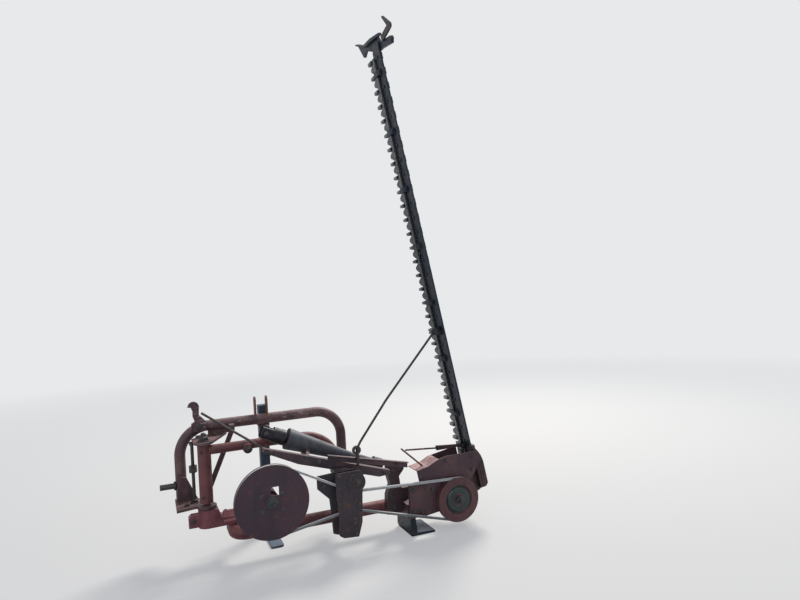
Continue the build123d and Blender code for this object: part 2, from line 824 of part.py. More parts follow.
def belt_loop(outward):
    """Lines and arcs of the belt's loop, moved outward from its middle."""
    signed = [(centre, side * (radius - side * outward)) for centre, radius, side in wheels]
    lines = []
    for (first, first_r), (second, second_r) in zip(signed, signed[1:] + signed[:1]):
        dx, dz = second[0] - first[0], second[1] - first[1]
        heading = atan2(dz, dx) - asin((second_r - first_r) / hypot(dx, dz))
        left = (-sin(heading), cos(heading))
        start = (first[0] - first_r * left[0], first[1] - first_r * left[1])
        end = (second[0] - second_r * left[0], second[1] - second_r * left[1])
        lines.append((start, end))
    next_lines = lines[1:] + lines[:1]
    next_wheels = signed[1:] + signed[:1]
    for (start, end), (following, _), (centre, radius) in zip(lines, next_lines, next_wheels):
        Line(start, end)
        entry = atan2(end[1] - centre[1], end[0] - centre[0])
        leave = atan2(following[1] - centre[1], following[0] - centre[0])
        turn = (leave - entry) % (2 * pi) if radius > 0 else -((entry - leave) % (2 * pi))
        middle = entry + turn / 2
        size = abs(radius)
        ThreePointArc(end, (centre[0] + size * cos(middle), centre[1] + size * sin(middle)), following)


with BuildPart() as drive_belt:
    with BuildSketch(side_plane(belt_width / 2)):
        with BuildLine():
            belt_loop(belt_thickness / 2)
        make_face()
        with BuildLine():
            belt_loop(-belt_thickness / 2)
        make_face(mode=Mode.SUBTRACT)
    extrude(amount=belt_width)

# Idler housing: the cover on the rear side of the idlers, the plate on their front side, and their studs.
# Its outlines are station and height
housing_right = [(-538, 400), (-512, 380), (-522, 298), (-530, 152), (-551, 84), (-624, 90)]
cover_outline = [(-652, 398), *housing_right, (-646, 104), (-644, 206), (-652, 300)]
plate_outline = [(-731, 389), *housing_right, (-664, 104), (-668, 190), (-675, 272), (-731, 328)]
with BuildPart() as idler_cover:
    with BuildSketch(side_plane(cover_rear + cover_thickness)):
        with BuildLine():
            Polyline(*cover_outline, close=True)
        make_face()
    extrude(amount=cover_thickness)
    fillet(idler_cover.edges().filter_by(Axis.Y), radius=housing_corner)
    with BuildSketch(side_plane(cover_rear)):
        with Locations(upper_idler):
            Circle(idler_radius)
    extrude(amount=cover_boss)

with BuildPart() as idler_bracket:
    with BuildSketch(side_plane(backplate_rear + backplate_thickness)):
        with BuildLine():
            Polyline(*plate_outline, close=True)
        make_face()
    extrude(amount=backplate_thickness)
    fillet(idler_bracket.edges().filter_by(Axis.Y), radius=housing_corner)
    for station, height in (upper_idler, lower_idler):
        with BuildSketch(side_plane(backplate_rear)):
            with Locations((station, height)):
                Circle(idler_stud_d / 2)
        extrude(amount=backplate_rear - cover_rear - cover_thickness - seat_gap)
    housing_front = backplate_rear + backplate_thickness
    with BuildSketch(side_plane(beam_rear - seat_gap)):
        with Locations(bracket_upper):
            Rectangle(70, 20)
    extrude(amount=beam_rear - seat_gap - housing_front)
    with BuildSketch(side_plane(pipe_forward - pipe_d / 2 - seat_gap)):
        with Locations((bracket_lower_station, pipe_height)):
            Rectangle(52, 36)
    extrude(amount=pipe_forward - pipe_d / 2 - seat_gap - housing_front)

# Hinge yoke: crosshead on the pipe's end, and an arm at each side of the head
with BuildPart() as yoke_crosshead:
    with BuildSketch(side_plane(front_arm_rear)):
        with BuildLine():
            right = crosshead_left + crosshead_width
            Polyline((crosshead_left, crosshead_bottom), (right, crosshead_bottom), (right, crosshead_top - 14),
                     (right - 14, crosshead_top), (crosshead_left, crosshead_top), close=True)
        make_face()
    extrude(amount=yoke_inner_width)

rear_arm_front = yoke_rear + arm_thickness
arms = [
    # front face, front end of the trunnion, upper left corner
    (rear_arm_front, rear_arm_front + trunnion_length, (crosshead_left + 8, 262)),
    (front_arm_front, front_arm_rear, (crosshead_left, 200)),
]
with BuildPart() as head_yoke:
    add(yoke_crosshead.part)
    for arm_front, trunnion_front, top_left in arms:
        with BuildSketch(side_plane(arm_front)):
            with BuildLine():
                Polyline((0, driven_height + arm_boss_radius), (top_left[0] + 70, top_left[1]), top_left,
                         (top_left[0], crosshead_bottom), (crosshead_left + 90, crosshead_bottom),
                         (0, driven_height - arm_boss_radius))
                ThreePointArc((0, driven_height - arm_boss_radius), (arm_boss_radius, driven_height),
                              (0, driven_height + arm_boss_radius))
            make_face()
        extrude(amount=arm_thickness)
        with BuildSketch(side_plane(trunnion_front)):
            with Locations((0, driven_height)):
                Circle(trunnion_d / 2)
        extrude(amount=trunnion_length)
    with BuildSketch(side_plane(front_arm_front + 10)):
        with Locations((0, driven_height)):
            Circle(head_shaft_d / 2 + running_gap)
    extrude(amount=front_arm_front + 20, mode=Mode.SUBTRACT)

with BuildPart() as yoke_skid:
    with BuildSketch(side_plane(front_arm_rear + 12)):
        with BuildLine():
            skid_right = skid_left + skid_width
            Polyline((skid_left, 0), (skid_right, 0), (skid_right, skid_thickness),
                     (skid_left + skid_web + 8, skid_thickness + 6), (skid_left + skid_web, crosshead_bottom),
                     (skid_left - 4, crosshead_bottom), (skid_left - 6, 18), close=True)
        make_face()
    extrude(amount=yoke_inner_width + 24)
    with BuildSketch(side_plane(front_arm_rear - 12)):
        with BuildLine():
            Polyline((-240, skid_thickness + 6), (-150, skid_thickness + 6), (-150, crosshead_bottom - 10),
                     (-240, crosshead_bottom - 10), close=True)
        make_face()
    extrude(amount=yoke_inner_width - 24, mode=Mode.SUBTRACT)

# Inner shoe: two ears on the trunnions, the seat for the bar and the runner below it
shoe_seat_end = guard_first - guard_width / 2 - 5
shoe_seat_bottom = bar_under - shoe_seat_thickness
with BuildPart() as inner_shoe:
    for ear_front in (shoe_rear + shoe_ear_thickness, shoe_front):
        with BuildSketch(bar_side(ear_front)):
            with BuildLine():
                Polyline((-42, 10), (-24, bar_under), (-12, shoe_sole + 20), (108, shoe_sole + 20),
                         (116, bar_under), (60, -60), (46, 10))
                ThreePointArc((46, 10), (2, 54), (-42, 10))
            make_face()
            Circle(trunnion_d / 2 + running_gap, mode=Mode.SUBTRACT)
        extrude(amount=shoe_ear_thickness)
    with BuildSketch(bar_flat(bar_under)):
        with BuildLine():
            Polyline((-6, shoe_rear - 28), (shoe_seat_end, shoe_rear - 28),
                     (shoe_seat_end, bar_rear + bar_width), (130, shoe_front + 14), (-6, shoe_front + 14),
                     close=True)
        make_face()
    extrude(amount=-shoe_seat_thickness)
    with BuildSketch(bar_side(shoe_runner_front)):
        with BuildLine():
            Polyline((-6, shoe_seat_bottom), (-6, shoe_sole + 14), (shoe_toe, shoe_sole), (116, shoe_sole))
            ThreePointArc((116, shoe_sole), (168, shoe_sole + 9), (206, shoe_seat_bottom))
            Line((206, shoe_seat_bottom), (-6, shoe_seat_bottom))
        make_face()
    extrude(amount=shoe_runner_width)
    with BuildSketch(bar_side(shoe_runner_front - shoe_runner_wall)):
        with BuildLine():
            Polyline((6, shoe_seat_bottom), (14, shoe_sole + 8), (116, shoe_sole + 8))
            ThreePointArc((116, shoe_sole + 8), (156, shoe_sole + 15), (184, shoe_seat_bottom))
            Line((184, shoe_seat_bottom), (6, shoe_seat_bottom))
        make_face()
    extrude(amount=shoe_runner_width - 2 * shoe_runner_wall, mode=Mode.SUBTRACT)

# Hood over the head: face plate, the sheet folded forward along its upper left, the wall beyond and a lever.
# Its points are distances out from the hinge, and up off the bar
hood_fold = [(212, 178), (212, 110), (226, 58)]
hood_top = [(229, -3), (220, -50), (203, -142), (199, -172)]
hood_front = hood_rear + hood_depth
with BuildPart() as head_hood:
    with BuildSketch(bar_side(hood_rear + hood_wall)):
        with BuildLine():
            Polyline((-46, 20), (100, 150), (150, 178), *hood_fold, *hood_top, (160, -184), (104, -150),
                     (20, -60), (-10, -50), close=True)
        make_face()
        Circle(arm_boss_radius - 4, mode=Mode.SUBTRACT)
    extrude(amount=hood_wall)
    with BuildSketch(bar_side(hood_front)):
        with BuildLine():
            folded = [(distance - hood_wall, height) for distance, height in hood_fold]
            Polyline(*hood_fold, *reversed(folded), close=True)
        make_face()
        with BuildLine():
            Polyline((150, 58), (226, 58), (224, -112), (176, -112), close=True)
        make_face()
    extrude(amount=hood_depth - hood_wall)
    with BuildSketch(bar_side(hood_front - hood_wall)):
        with BuildLine():
            Polyline((140, 54), (222, 54), (260, -60), (230, -120), (140, -120), close=True)
        make_face()
    extrude(amount=hood_depth - 2 * hood_wall, mode=Mode.SUBTRACT)
    with BuildSketch(bar_side(shoe_rear - seat_gap)):
        with Locations((74, -100)):
            Circle(8)
    extrude(amount=shoe_rear - seat_gap - hood_rear - hood_wall)
    lever_foot = hinge + Vector(0, hood_rear + 42, 0) + out * 210 + up * 126
    lever_end = hinge + Vector(0, hood_rear + 42, 0) + out * 334 + up * 218
    with BuildSketch(Plane(origin=lever_foot, z_dir=lever_end - lever_foot)):
        Circle(4.5)
    extrude(amount=(lever_end - lever_foot).length)

# Cutter bar: the long flat
bar_front = bar_rear + bar_width
guard_last = guard_first + (guard_count - 1) * guard_pitch
bar_end = guard_last + guard_pitch / 2 + bar_end_margin
with BuildPart() as cutter_bar:
    with BuildSketch(bar_flat(bar_under)):
        with BuildLine():
            Polyline((bar_start, bar_rear), (bar_end, bar_rear + bar_taper), (bar_end, bar_front),
                     (bar_start, bar_front), close=True)
        make_face()
    extrude(amount=bar_thickness)

# Guards: tail under the bar, wings along its edge, ledge for the knife, narrow lip over it and the point
ledge = bar_under + bar_thickness + 1
lip_under = ledge + 2 * knife_gap + section_thickness
guard_tip = bar_front + guard_reach
lip_root = bar_front + guard_ledge_reach - 3
with BuildPart() as guard:
    with BuildSketch(guard_section_plane(guard_first - guard_width / 2)):
        with BuildLine():
            Polyline(
                (bar_front - guard_tail, bar_under - guard_tail_thickness),
                (bar_front - guard_tail, bar_under),
                (bar_front + 1, bar_under),
                (bar_front + 1, ledge),
                (bar_front + guard_ledge_reach, ledge),
                (guard_tip, ledge - 8),
                (guard_tip - 4, ledge - 14),
                (bar_front + guard_keel_reach, bar_under - guard_keel_depth),
                (bar_front, bar_under - guard_root_depth),
                close=True,
            )
        make_face()
    extrude(amount=guard_width)
    with BuildSketch(guard_section_plane(guard_first - guard_lip_width / 2)):
        with BuildLine():
            Polyline(
                (lip_root, ledge - 4),
                (lip_root, lip_under),
                (bar_front + guard_lip_start, lip_under),
                (bar_front + guard_lip_start, lip_under + guard_lip_thickness),
                (bar_front + guard_ledge_reach, lip_under + guard_lip_thickness - 1),
                (guard_tip - 4, ledge - 7),
                (guard_tip - 12, ledge - 9),
                close=True,
            )
        make_face()
    extrude(amount=guard_lip_width)
    with BuildSketch(bar_flat(bar_under - 30)):
        with BuildLine():
            half_widths = [
                # half width, distance forward
                (guard_width / 2, bar_front - guard_tail - 1),
                (guard_width / 2, bar_front + guard_wing),
                (guard_rib_half + 3, bar_front + guard_wing + 6),
                (guard_rib_half, bar_front + guard_ledge_reach - 8),
                (1.2, guard_tip),
            ]
            inner_side = [(guard_first - half, forward) for half, forward in half_widths]
            outer_side = [(guard_first + half, forward) for half, forward in reversed(half_widths)]
            Polyline(*inner_side, *outer_side, close=True)
        make_face()
    extrude(amount=60, mode=Mode.INTERSECT)
    wing_half = (guard_pitch - guard_wing_gap) / 2
    with BuildSketch(guard_section_plane(guard_first - wing_half)):
        with BuildLine():
            Polyline((bar_front + 1, bar_under), (bar_front + 1, ledge), (bar_front + guard_wing, ledge),
                     (bar_front + guard_wing - 3, bar_under), close=True)
        make_face()
    extrude(amount=2 * wing_half)

with BuildPart() as guards:
    with Locations(*[out * (guard_pitch * number) for number in range(guard_count)]):
        add(guard.part)

# Knife: the back strip, one section for each guard, and its head
knife_rear = bar_front + 3
section_base = knife_rear + knife_back_width
knife_first = guard_first - guard_pitch / 2
knife_start = knife_first - guard_pitch / 2
knife_end = knife_start + guard_count * guard_pitch
knife_level = ledge + knife_gap
with BuildPart() as knife:
    with BuildSketch(bar_flat(knife_level)):
        with BuildLine():
            teeth = []
            for number in range(guard_count):
                middle = knife_first + number * guard_pitch
                teeth += [
                    (middle - guard_pitch / 2, section_base),
                    (middle - section_tip_width / 2, knife_rear + section_length),
                    (middle + section_tip_width / 2, knife_rear + section_length),
                ]
            Polyline((knife_start, knife_rear), *teeth, (knife_end, section_base), (knife_end, knife_rear),
                     close=True)
        make_face()
    extrude(amount=section_thickness)
    with BuildSketch(bar_flat(knife_level + section_thickness)):
        with BuildLine():
            Polyline((knife_start, knife_rear), (knife_end, knife_rear), (knife_end, section_base),
                     (knife_start, section_base), close=True)
        make_face()
    extrude(amount=knife_back_thickness)
    with BuildSketch(bar_flat(knife_level + section_thickness)):
        with Locations((knife_start, knife_rear + knife_back_width / 2 + 6)):
            RectangleRounded(44, 36, 12)
    extrude(amount=20)

# Clips that hold the knife down, seated on the bar
knife_top = knife_level + section_thickness + knife_back_thickness
bar_top = bar_under + bar_thickness
with BuildPart() as knife_clips:
    for number in range(2, guard_count, clip_every):
        clip_start = guard_first + number * guard_pitch - clip_width / 2
        with BuildSketch(guard_section_plane(clip_start)):
            with BuildLine():
                over = knife_top + knife_gap
                Polyline((bar_front - 34, bar_top), (bar_front - 34, bar_top + clip_thickness),
                         (bar_front - 10, over + clip_thickness),
                         (section_base + clip_reach, over + clip_thickness), (section_base + clip_reach, over),
                         (bar_front, over), (bar_front, bar_top), close=True)
            make_face()
        extrude(amount=clip_width)

# Strap on the bar's upper face that ends in a rod, near the head
strap_forward = bar_front - strap_inset
with BuildPart() as head_strap:
    strap_foot = bar_top + seat_gap
    with BuildSketch(bar_side(strap_forward)):
        with BuildLine():
            Polyline((208, strap_foot), (238, strap_foot), (243, -104), (276, 16), (251, 18), (229, -104),
                     (208, strap_foot + 8), close=True)
        make_face()
    extrude(amount=strap_thickness)
    strap_middle = hinge + Vector(0, strap_forward - strap_thickness / 2, 0)
    strap_rod_start = strap_middle + out * 262 + up * 12
    strap_rod_end = strap_middle + out * 310 + up * 187
    with BuildSketch(Plane(origin=strap_rod_start, z_dir=strap_rod_end - strap_rod_start)):
        Circle(strap_rod_radius)
    extrude(amount=(strap_rod_end - strap_rod_start).length)

# Outer shoe with its divider point and the fin on it: distances out from the bar's end, and forward
shoe_outline = [(-62, -82), (-42, -96), (-28, -88), (-8, 42), (35, 65), (52, 130), (48, 208), (60, 250),
                (98, 322), (4, 271), (22, 232), (8, 196), (-12, 150), (-25, 136), (-25, 100), (-40, 88),
                (-41, 42)]
fin_outline = [(12, 0), (24, 0), (44, 120), (48, 208), (94, 314), (82, 306), (34, 208), (28, 120)]
with BuildPart() as outer_shoe:
    with BuildSketch(bar_flat(bar_under)):
        with BuildLine():
            Polyline(*[(bar_end + distance, forward) for distance, forward in shoe_outline], close=True)
        make_face()
    extrude(amount=-outer_shoe_thickness)
    with BuildSketch(bar_flat(bar_under)):
        with BuildLine():
            Polyline(*[(bar_end + distance, forward) for distance, forward in fin_outline], close=True)
        make_face()
    extrude(amount=outer_shoe_thickness)

# Bent stick on the outer shoe that turns the cut grass in: its root, heel and tip
stick_joints = [
    # distance out from the bar's end, distance forward, half width
    (-10, -6, stick_half_width),
    (9, -stick_heel_inset, stick_half_width),
    (72, -65, 5),
]
with BuildPart() as grass_stick:
    with BuildSketch(bar_flat(bar_under)):
        for (start_u, start_y, start_r), (end_u, end_y, end_r) in zip(stick_joints, stick_joints[1:]):
            leg = hypot(end_u - start_u, end_y - start_y)
            across_u, across_y = (start_y - end_y) / leg, (end_u - start_u) / leg
            with BuildLine():
                Polyline((bar_end + start_u + start_r * across_u, start_y + start_r * across_y),
                         (bar_end + end_u + end_r * across_u, end_y + end_r * across_y),
                         (bar_end + end_u - end_r * across_u, end_y - end_r * across_y),
                         (bar_end + start_u - start_r * across_u, start_y - start_r * across_y), close=True)
            make_face()
            with Locations((bar_end + end_u, end_y)):
                Circle(end_r)
    extrude(amount=stick_thickness)

# Transport rod: ring on the eye, long rod and the peg that lies against the bar's lug
rod_tilt = radians(rod_angle)
rod_along = Vector(cos(rod_tilt), 0, sin(rod_tilt))
rod_eye = Vector(at_x(rod_eye_station), at_y(rod_forward), rod_eye_height)
rod_bend = Vector(at_x(rod_bend_station), at_y(rod_forward), rod_bend_height)
rod_middle = Vector(at_x(rod_middle_station), at_y(rod_forward), rod_middle_height)
rod_tip = rod_middle + rod_along * rod_length
rod_root = (rod_bend - rod_eye).normalized()
with BuildPart() as transport_rod:
    ring_middle = rod_eye - rod_root * (rod_ring_radius - eye_wire_d / 2 - seat_gap)
    ring_front = ring_middle + Vector(0, rod_d / 2, 0)
    with BuildSketch(Plane(origin=ring_front, x_dir=(1, 0, 0), z_dir=(0, -1, 0))):
        Circle(rod_ring_outer)
        Circle(rod_ring_radius, mode=Mode.SUBTRACT)
    extrude(amount=rod_d)
    with BuildLine() as rod_line:
        FilletPolyline(ring_middle + rod_root * (rod_ring_radius + rod_ring_outer) / 2, rod_bend, rod_middle,
                       rod_tip, rod_tip + Vector(0, peg_length, 0),
                       radius=[4 * rod_d, rod_middle_radius, rod_peg_bend])
    with BuildSketch(Plane(origin=rod_line.line @ 0, z_dir=rod_line.line % 0)):
        Circle(rod_d / 2 - seat_gap / 2)
    sweep(path=rod_line.line)

# Eye bolt through the rod's ring: bent wire over a shank, held in a block on the housing's corner
eye_low = rod_eye_height - rod_ring_outer - 26
with BuildPart() as rod_eye_bolt:
    eye_plane = Plane(origin=(at_x(rod_eye_station), belt_y, 0), x_dir=(0, 1, 0), z_dir=(1, 0, 0))
    with BuildLine(eye_plane) as eye_line:
        eye_half = eye_inner / 2 + eye_wire_d / 2
        FilletPolyline((rod_forward - eye_half, eye_low), (rod_forward - eye_half, rod_eye_height),
                       (rod_forward + eye_half, rod_eye_height), (rod_forward + eye_half, eye_low),
                       radius=eye_wire_d * 0.55)
    with BuildSketch(Plane(origin=eye_line.line @ 0, z_dir=eye_line.line % 0)):
        Circle(eye_wire_d / 2)
    sweep(path=eye_line.line)
    with BuildSketch(side_plane(rod_forward + eye_half + eye_wire_d / 2)):
        with Locations((rod_eye_station, eye_low)):
            Rectangle(eye_shank_d, 14)
    extrude(amount=2 * eye_half + eye_wire_d)
    with BuildSketch(floor_plane(eye_block_height)):
        with Locations((rod_eye_station, rod_forward)):
            Circle(eye_shank_d / 2)
    extrude(amount=eye_low - eye_block_height)
    block_front = rod_forward + eye_shank_d / 2 + 2
    with BuildSketch(side_plane(block_front)):
        with Locations((rod_eye_station - 6, eye_block_height)):
            Rectangle(30, 34)
    extrude(amount=block_front - backplate_rear - backplate_thickness - seat_gap)

# Lug on the bar's upper face, on which the peg lies
lug_out = (rod_tip - hinge).dot(out)
lug_up = (rod_tip - hinge).dot(up)
with BuildPart() as rod_lug:
    lug_face = lug_up - rod_d / 2 - seat_gap
    with BuildSketch(bar_side(rod_forward + peg_length - 6)):
        with BuildLine():
            Polyline((lug_out - 26, bar_top + seat_gap), (lug_out - 14, lug_face), (lug_out + 14, lug_face),
                     (lug_out + 24, bar_top + seat_gap), close=True)
        make_face()
    extrude(amount=14)

# Thin lift rod from the lever's throat down to the end of the lift beam
rod_foot_station = beam_left_station + 12
rod_upper = Vector(at_x(hoop_left_station + 111), at_y(lever_rear - lift_rod_d / 2), hoop_top_height + 72)
rod_lower = Vector(at_x(rod_foot_station), at_y(beam_rear + beam_width + 14), beam_top(rod_foot_station) - 10)
with BuildPart() as lift_rod:
    with BuildSketch(Plane(origin=rod_upper, z_dir=rod_lower - rod_upper)):
        Circle(lift_rod_d / 2)
    extrude(amount=(rod_lower - rod_upper).length)
    beam_face = Vector(rod_lower.X, at_y(beam_rear + beam_width + seat_gap), rod_lower.Z - lift_rod_d / 2)
    with BuildSketch(Plane(origin=beam_face, z_dir=(0, 1, 0))):
        Circle(lift_rod_d - 1)
    extrude(amount=24)

# Stored driveline: shielded half in its cradles, and the tractor half that telescopes out of it
line_tilt = radians(line_slope)
line_along = Vector(cos(line_tilt), 0, -sin(line_tilt))
line_point = Vector(at_x(line_station), at_y(line_forward), line_height)


def line_plane(distance):
    """Plane square to the driveline, that far down it from the cone's mouth."""
    return Plane(origin=line_point + line_along * distance, x_dir=(0, 1, 0), z_dir=line_along)


with BuildPart() as driveline_shield:
    with BuildSketch(line_plane(0)):
        Circle(cone_radius)
    with BuildSketch(line_plane(cone_length)):
        Circle(line_tube_radius)
    loft()
    with BuildSketch(line_plane(cone_length)):
        Circle(line_tube_radius)
    extrude(amount=line_tube_length)
    with BuildSketch(line_plane(0)):
        Circle(line_inner_radius + 1)
    extrude(amount=cone_length + line_tube_length, mode=Mode.SUBTRACT)
    with BuildSketch(line_plane(cone_length + line_tube_length)):
        Circle(line_collar_radius)
    extrude(amount=yoke_length - 10)

with BuildPart() as driveline_yoke:
    with BuildSketch(line_plane(-14)):
        Circle(line_inner_radius)
    extrude(amount=cone_length + line_tube_length - 30)
    with BuildSketch(line_plane(-yoke_length - 14)):
        Circle(yoke_radius)
    extrude(amount=yoke_length)
    with BuildSketch(line_plane(-2 * yoke_length - 10)):
        RectangleRounded(fork_width, fork_depth, fork_depth / 4)
    extrude(amount=yoke_length - 4)
    with BuildSketch(line_plane(-2 * yoke_length - 12)):
        Rectangle(fork_slot, fork_depth + 24)
    extrude(amount=yoke_length - 14, mode=Mode.SUBTRACT)

with BuildPart() as driveline_cradles:
    cradles = [
        # distance down the driveline, reach down the beam's face
        (100, 74),
        (300, 60),
    ]
    for distance, drop in cradles:
        radius = cone_radius - (cone_radius - line_tube_radius) * distance / cone_length
        with BuildSketch(line_plane(distance)):
            with BuildLine():
                inner = beam_rear + beam_width + seat_gap - line_forward
                Polyline((inner, 4 - radius), (inner, -drop), (inner + 22, -drop), (6, -9 - radius),
                         (radius * 0.7, -4 - radius), (radius * 0.9, -radius * 0.3),
                         (-radius * 0.9, -radius * 0.3), close=True)
            make_face()
            Circle(radius + seat_gap, mode=Mode.SUBTRACT)
        extrude(amount=16)

NODES = {
    "hitch_hoop": hitch_hoop,
    "hitch_pins": hitch_pins,
    "top_link_ears": top_link_ears,
    "upper_swing_plate": upper_swing_plate,
    "lower_swing_plate": lower_swing_plate,
    "brace_bar": brace_bar,
    "latch_tie": latch_tie,
    "lift_lever": lift_lever,
    "stand_sleeve": stand_sleeve,
    "parking_stand": parking_stand,
    "swivel_post": swivel_post,
    "post_foot": post_foot,
    "main_pipe": main_pipe,
    "mid_tube": mid_tube,
    "lift_beam": lift_beam,
    "upper_channel": upper_channel,
    "upright": upright,
    "drive_pulley": drive_pulley,
    "input_shaft": input_shaft,
    "input_bearing": input_bearing,
    "driven_pulley": driven_pulley,
    "head_shaft": head_shaft,
    "upper_idler": upper_idler_wheel,
    "lower_idler": lower_idler_wheel,
    "drive_belt": drive_belt,
    "idler_cover": idler_cover,
    "idler_bracket": idler_bracket,
    "head_yoke": head_yoke,
    "yoke_skid": yoke_skid,
    "inner_shoe": inner_shoe,
    "head_hood": head_hood,
    "cutter_bar": cutter_bar,
    "head_strap": head_strap,
    "rod_lug": rod_lug,
    "guards": guards,
    "knife": knife,
    "knife_clips": knife_clips,
    "outer_shoe": outer_shoe,
    "grass_stick": grass_stick,
    "transport_rod": transport_rod,
    "rod_eye_bolt": rod_eye_bolt,
    "lift_rod": lift_rod,
    "driveline_shield": driveline_shield,
    "driveline_yoke": driveline_yoke,
    "driveline_cradles": driveline_cradles,
}
for node, piece in NODES.items():
    piece.part.label = node
    export_step(piece.part, f"parts/{node}.step")
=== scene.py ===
import json
from math import cos, radians, sin

import bpy
from mathutils import Matrix, Vector


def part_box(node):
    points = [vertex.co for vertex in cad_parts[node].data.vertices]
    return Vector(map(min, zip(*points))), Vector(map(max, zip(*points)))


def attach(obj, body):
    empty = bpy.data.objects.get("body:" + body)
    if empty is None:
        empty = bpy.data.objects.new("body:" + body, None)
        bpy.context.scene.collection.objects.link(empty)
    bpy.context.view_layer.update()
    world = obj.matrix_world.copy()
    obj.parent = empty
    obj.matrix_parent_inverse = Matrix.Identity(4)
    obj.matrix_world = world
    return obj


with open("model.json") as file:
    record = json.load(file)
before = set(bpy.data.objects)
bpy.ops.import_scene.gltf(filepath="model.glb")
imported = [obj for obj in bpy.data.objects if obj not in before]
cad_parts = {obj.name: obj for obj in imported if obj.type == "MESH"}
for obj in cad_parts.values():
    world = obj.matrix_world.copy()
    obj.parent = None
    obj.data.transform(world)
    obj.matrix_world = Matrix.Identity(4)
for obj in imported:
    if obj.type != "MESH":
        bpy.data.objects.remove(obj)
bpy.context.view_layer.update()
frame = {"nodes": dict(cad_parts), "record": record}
node = frame["nodes"]

# Camera. It stands behind the mower and to its left, at chest height, with the short lens of a pocket camera,
# and is rolled by about three degrees, so that the folded cutter bar leans as it does from there.


def middle(name):
    """The middle of a node's box."""
    low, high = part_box(name)
    return (low + high) / 2


head = middle("driven_pulley")
camera_from_head = Vector((-1.428, -2.770, 1.039))
camera_look = Vector((0.38759, 0.92183, 0.00177))
camera_up = Vector((0.04945, -0.02270, 0.99852))
lens = bpy.data.cameras.new("camera")
lens.lens = 27
lens.sensor_width = 36
camera = bpy.data.objects.new("camera", lens)
bpy.context.scene.collection.objects.link(camera)
camera_back = -camera_look.normalized()
camera_side = camera_up.cross(camera_back).normalized()
camera_top = camera_back.cross(camera_side)
camera_turn = Matrix((camera_side, camera_top, camera_back)).transposed().to_4x4()
camera.matrix_world = Matrix.Translation(head + camera_from_head) @ camera_turn
bpy.context.scene.camera = camera
bpy.context.scene.view_settings.view_transform = "Standard"

# Floor and sky. A pale matt studio floor carries the mower's shadow, and a pale world closes the background,
# with its strength of one kept to what the camera and the reflections see.


def primitive(kind, **values):
    """One of Blender's primitives, alone in the selection."""
    bpy.ops.object.select_all(action="DESELECT")
    getattr(bpy.ops.mesh, f"primitive_{kind}_add")(**values)
    return bpy.context.object


def link(owner, from_socket, to_socket):
    """Join two sockets in the nodes of a material or a world."""
    owner.node_tree.links.new(from_socket, to_socket)


def shader_node(owner, kind, **sockets):
    """A shader node with its named sockets set."""
    made = owner.node_tree.nodes.new(kind)
    for name, value in sockets.items():
        made.inputs[name.replace("_", " ")].default_value = value
    return made


def blank(name):
    """A new material, its Principled shader, and its object coordinates."""
    material = bpy.data.materials.new(name)
    material.use_nodes = True
    shader = material.node_tree.nodes["Principled BSDF"]
    place = shader_node(material, "ShaderNodeTexCoord").outputs["Object"]
    return material, shader, place


def band(owner, value, low, high, to_low=0.0, to_high=1.0):
    """Value spread from low..high to to_low..to_high, held at the ends."""
    limits = {"From_Min": low, "From_Max": high, "To_Min": to_low, "To_Max": to_high}
    spread = shader_node(owner, "ShaderNodeMapRange", **limits)
    link(owner, value, spread.inputs["Value"])
    return spread.outputs["Result"]


def maths(owner, kind, first, second):
    """One of Math's operations on two sockets, or on a socket and a number."""
    result = shader_node(owner, "ShaderNodeMath")
    result.operation = kind
    result.use_clamp = kind in ("ADD", "MULTIPLY")
    link(owner, first, result.inputs[0])
    if isinstance(second, (int, float)):
        result.inputs[1].default_value = second
    else:
        link(owner, second, result.inputs[1])
    return result.outputs[0]


def mix_to(owner, amount, first, second, output):
    """Two shaders, mixed by the amount and led to the output's surface."""
    mix = shader_node(owner, "ShaderNodeMixShader")
    for number, source in enumerate((amount, first.outputs[0], second.outputs[0])):
        link(owner, source, mix.inputs[number])
    link(owner, mix.outputs[0], output.inputs["Surface"])


pale = (0.80, 0.815, 0.83, 1)
floor_drop = 0.0005
fade_starts, fade_ends = 1.5, 9.0
floor = primitive("plane", size=60, location=(0, 0, -floor_drop))
floor.name = "studio_floor"
floor_paint, floor_shader, floor_place = blank("studio_floor")
floor_shader.inputs["Base Color"].default_value = (0.66, 0.65, 0.64, 1)
floor_shader.inputs["Roughness"].default_value = 0.9
floor_glow = shader_node(floor_paint, "ShaderNodeEmission", Color=pale)
floor_rays = shader_node(floor_paint, "ShaderNodeLightPath")
floor_reach = shader_node(floor_paint, "ShaderNodeVectorMath")
floor_reach.operation = "LENGTH"
link(floor_paint, floor_place, floor_reach.inputs[0])
floor_fade = band(floor_paint, floor_reach.outputs["Value"], fade_starts, fade_ends, to_low=0.42)
floor_seen = maths(floor_paint, "MULTIPLY", floor_fade, floor_rays.outputs["Is Camera Ray"])
floor_output = floor_paint.node_tree.nodes["Material Output"]
mix_to(floor_paint, floor_seen, floor_shader, floor_glow, floor_output)
floor.data.materials.append(floor_paint)

sky = bpy.data.worlds.new("studio")
bpy.context.scene.world = sky
sky.use_nodes = True
sky.node_tree.nodes.clear()
sky_glow = shader_node(sky, "ShaderNodeBackground", Color=(0.80, 0.87, 1.0, 1), Strength=0.42)
sky_look = shader_node(sky, "ShaderNodeBackground", Color=pale, Strength=1)
sky_rays = shader_node(sky, "ShaderNodeLightPath")
sky_seen = maths(sky, "MAXIMUM", sky_rays.outputs["Is Camera Ray"], sky_rays.outputs["Is Glossy Ray"])
mix_to(sky, sky_seen, sky_glow, sky_look, shader_node(sky, "ShaderNodeOutputWorld"))

# Lights. A large warm lamp stands high in front of the mower and to its right, and a wide soft one behind the
# camera opens the shaded side that faces it.


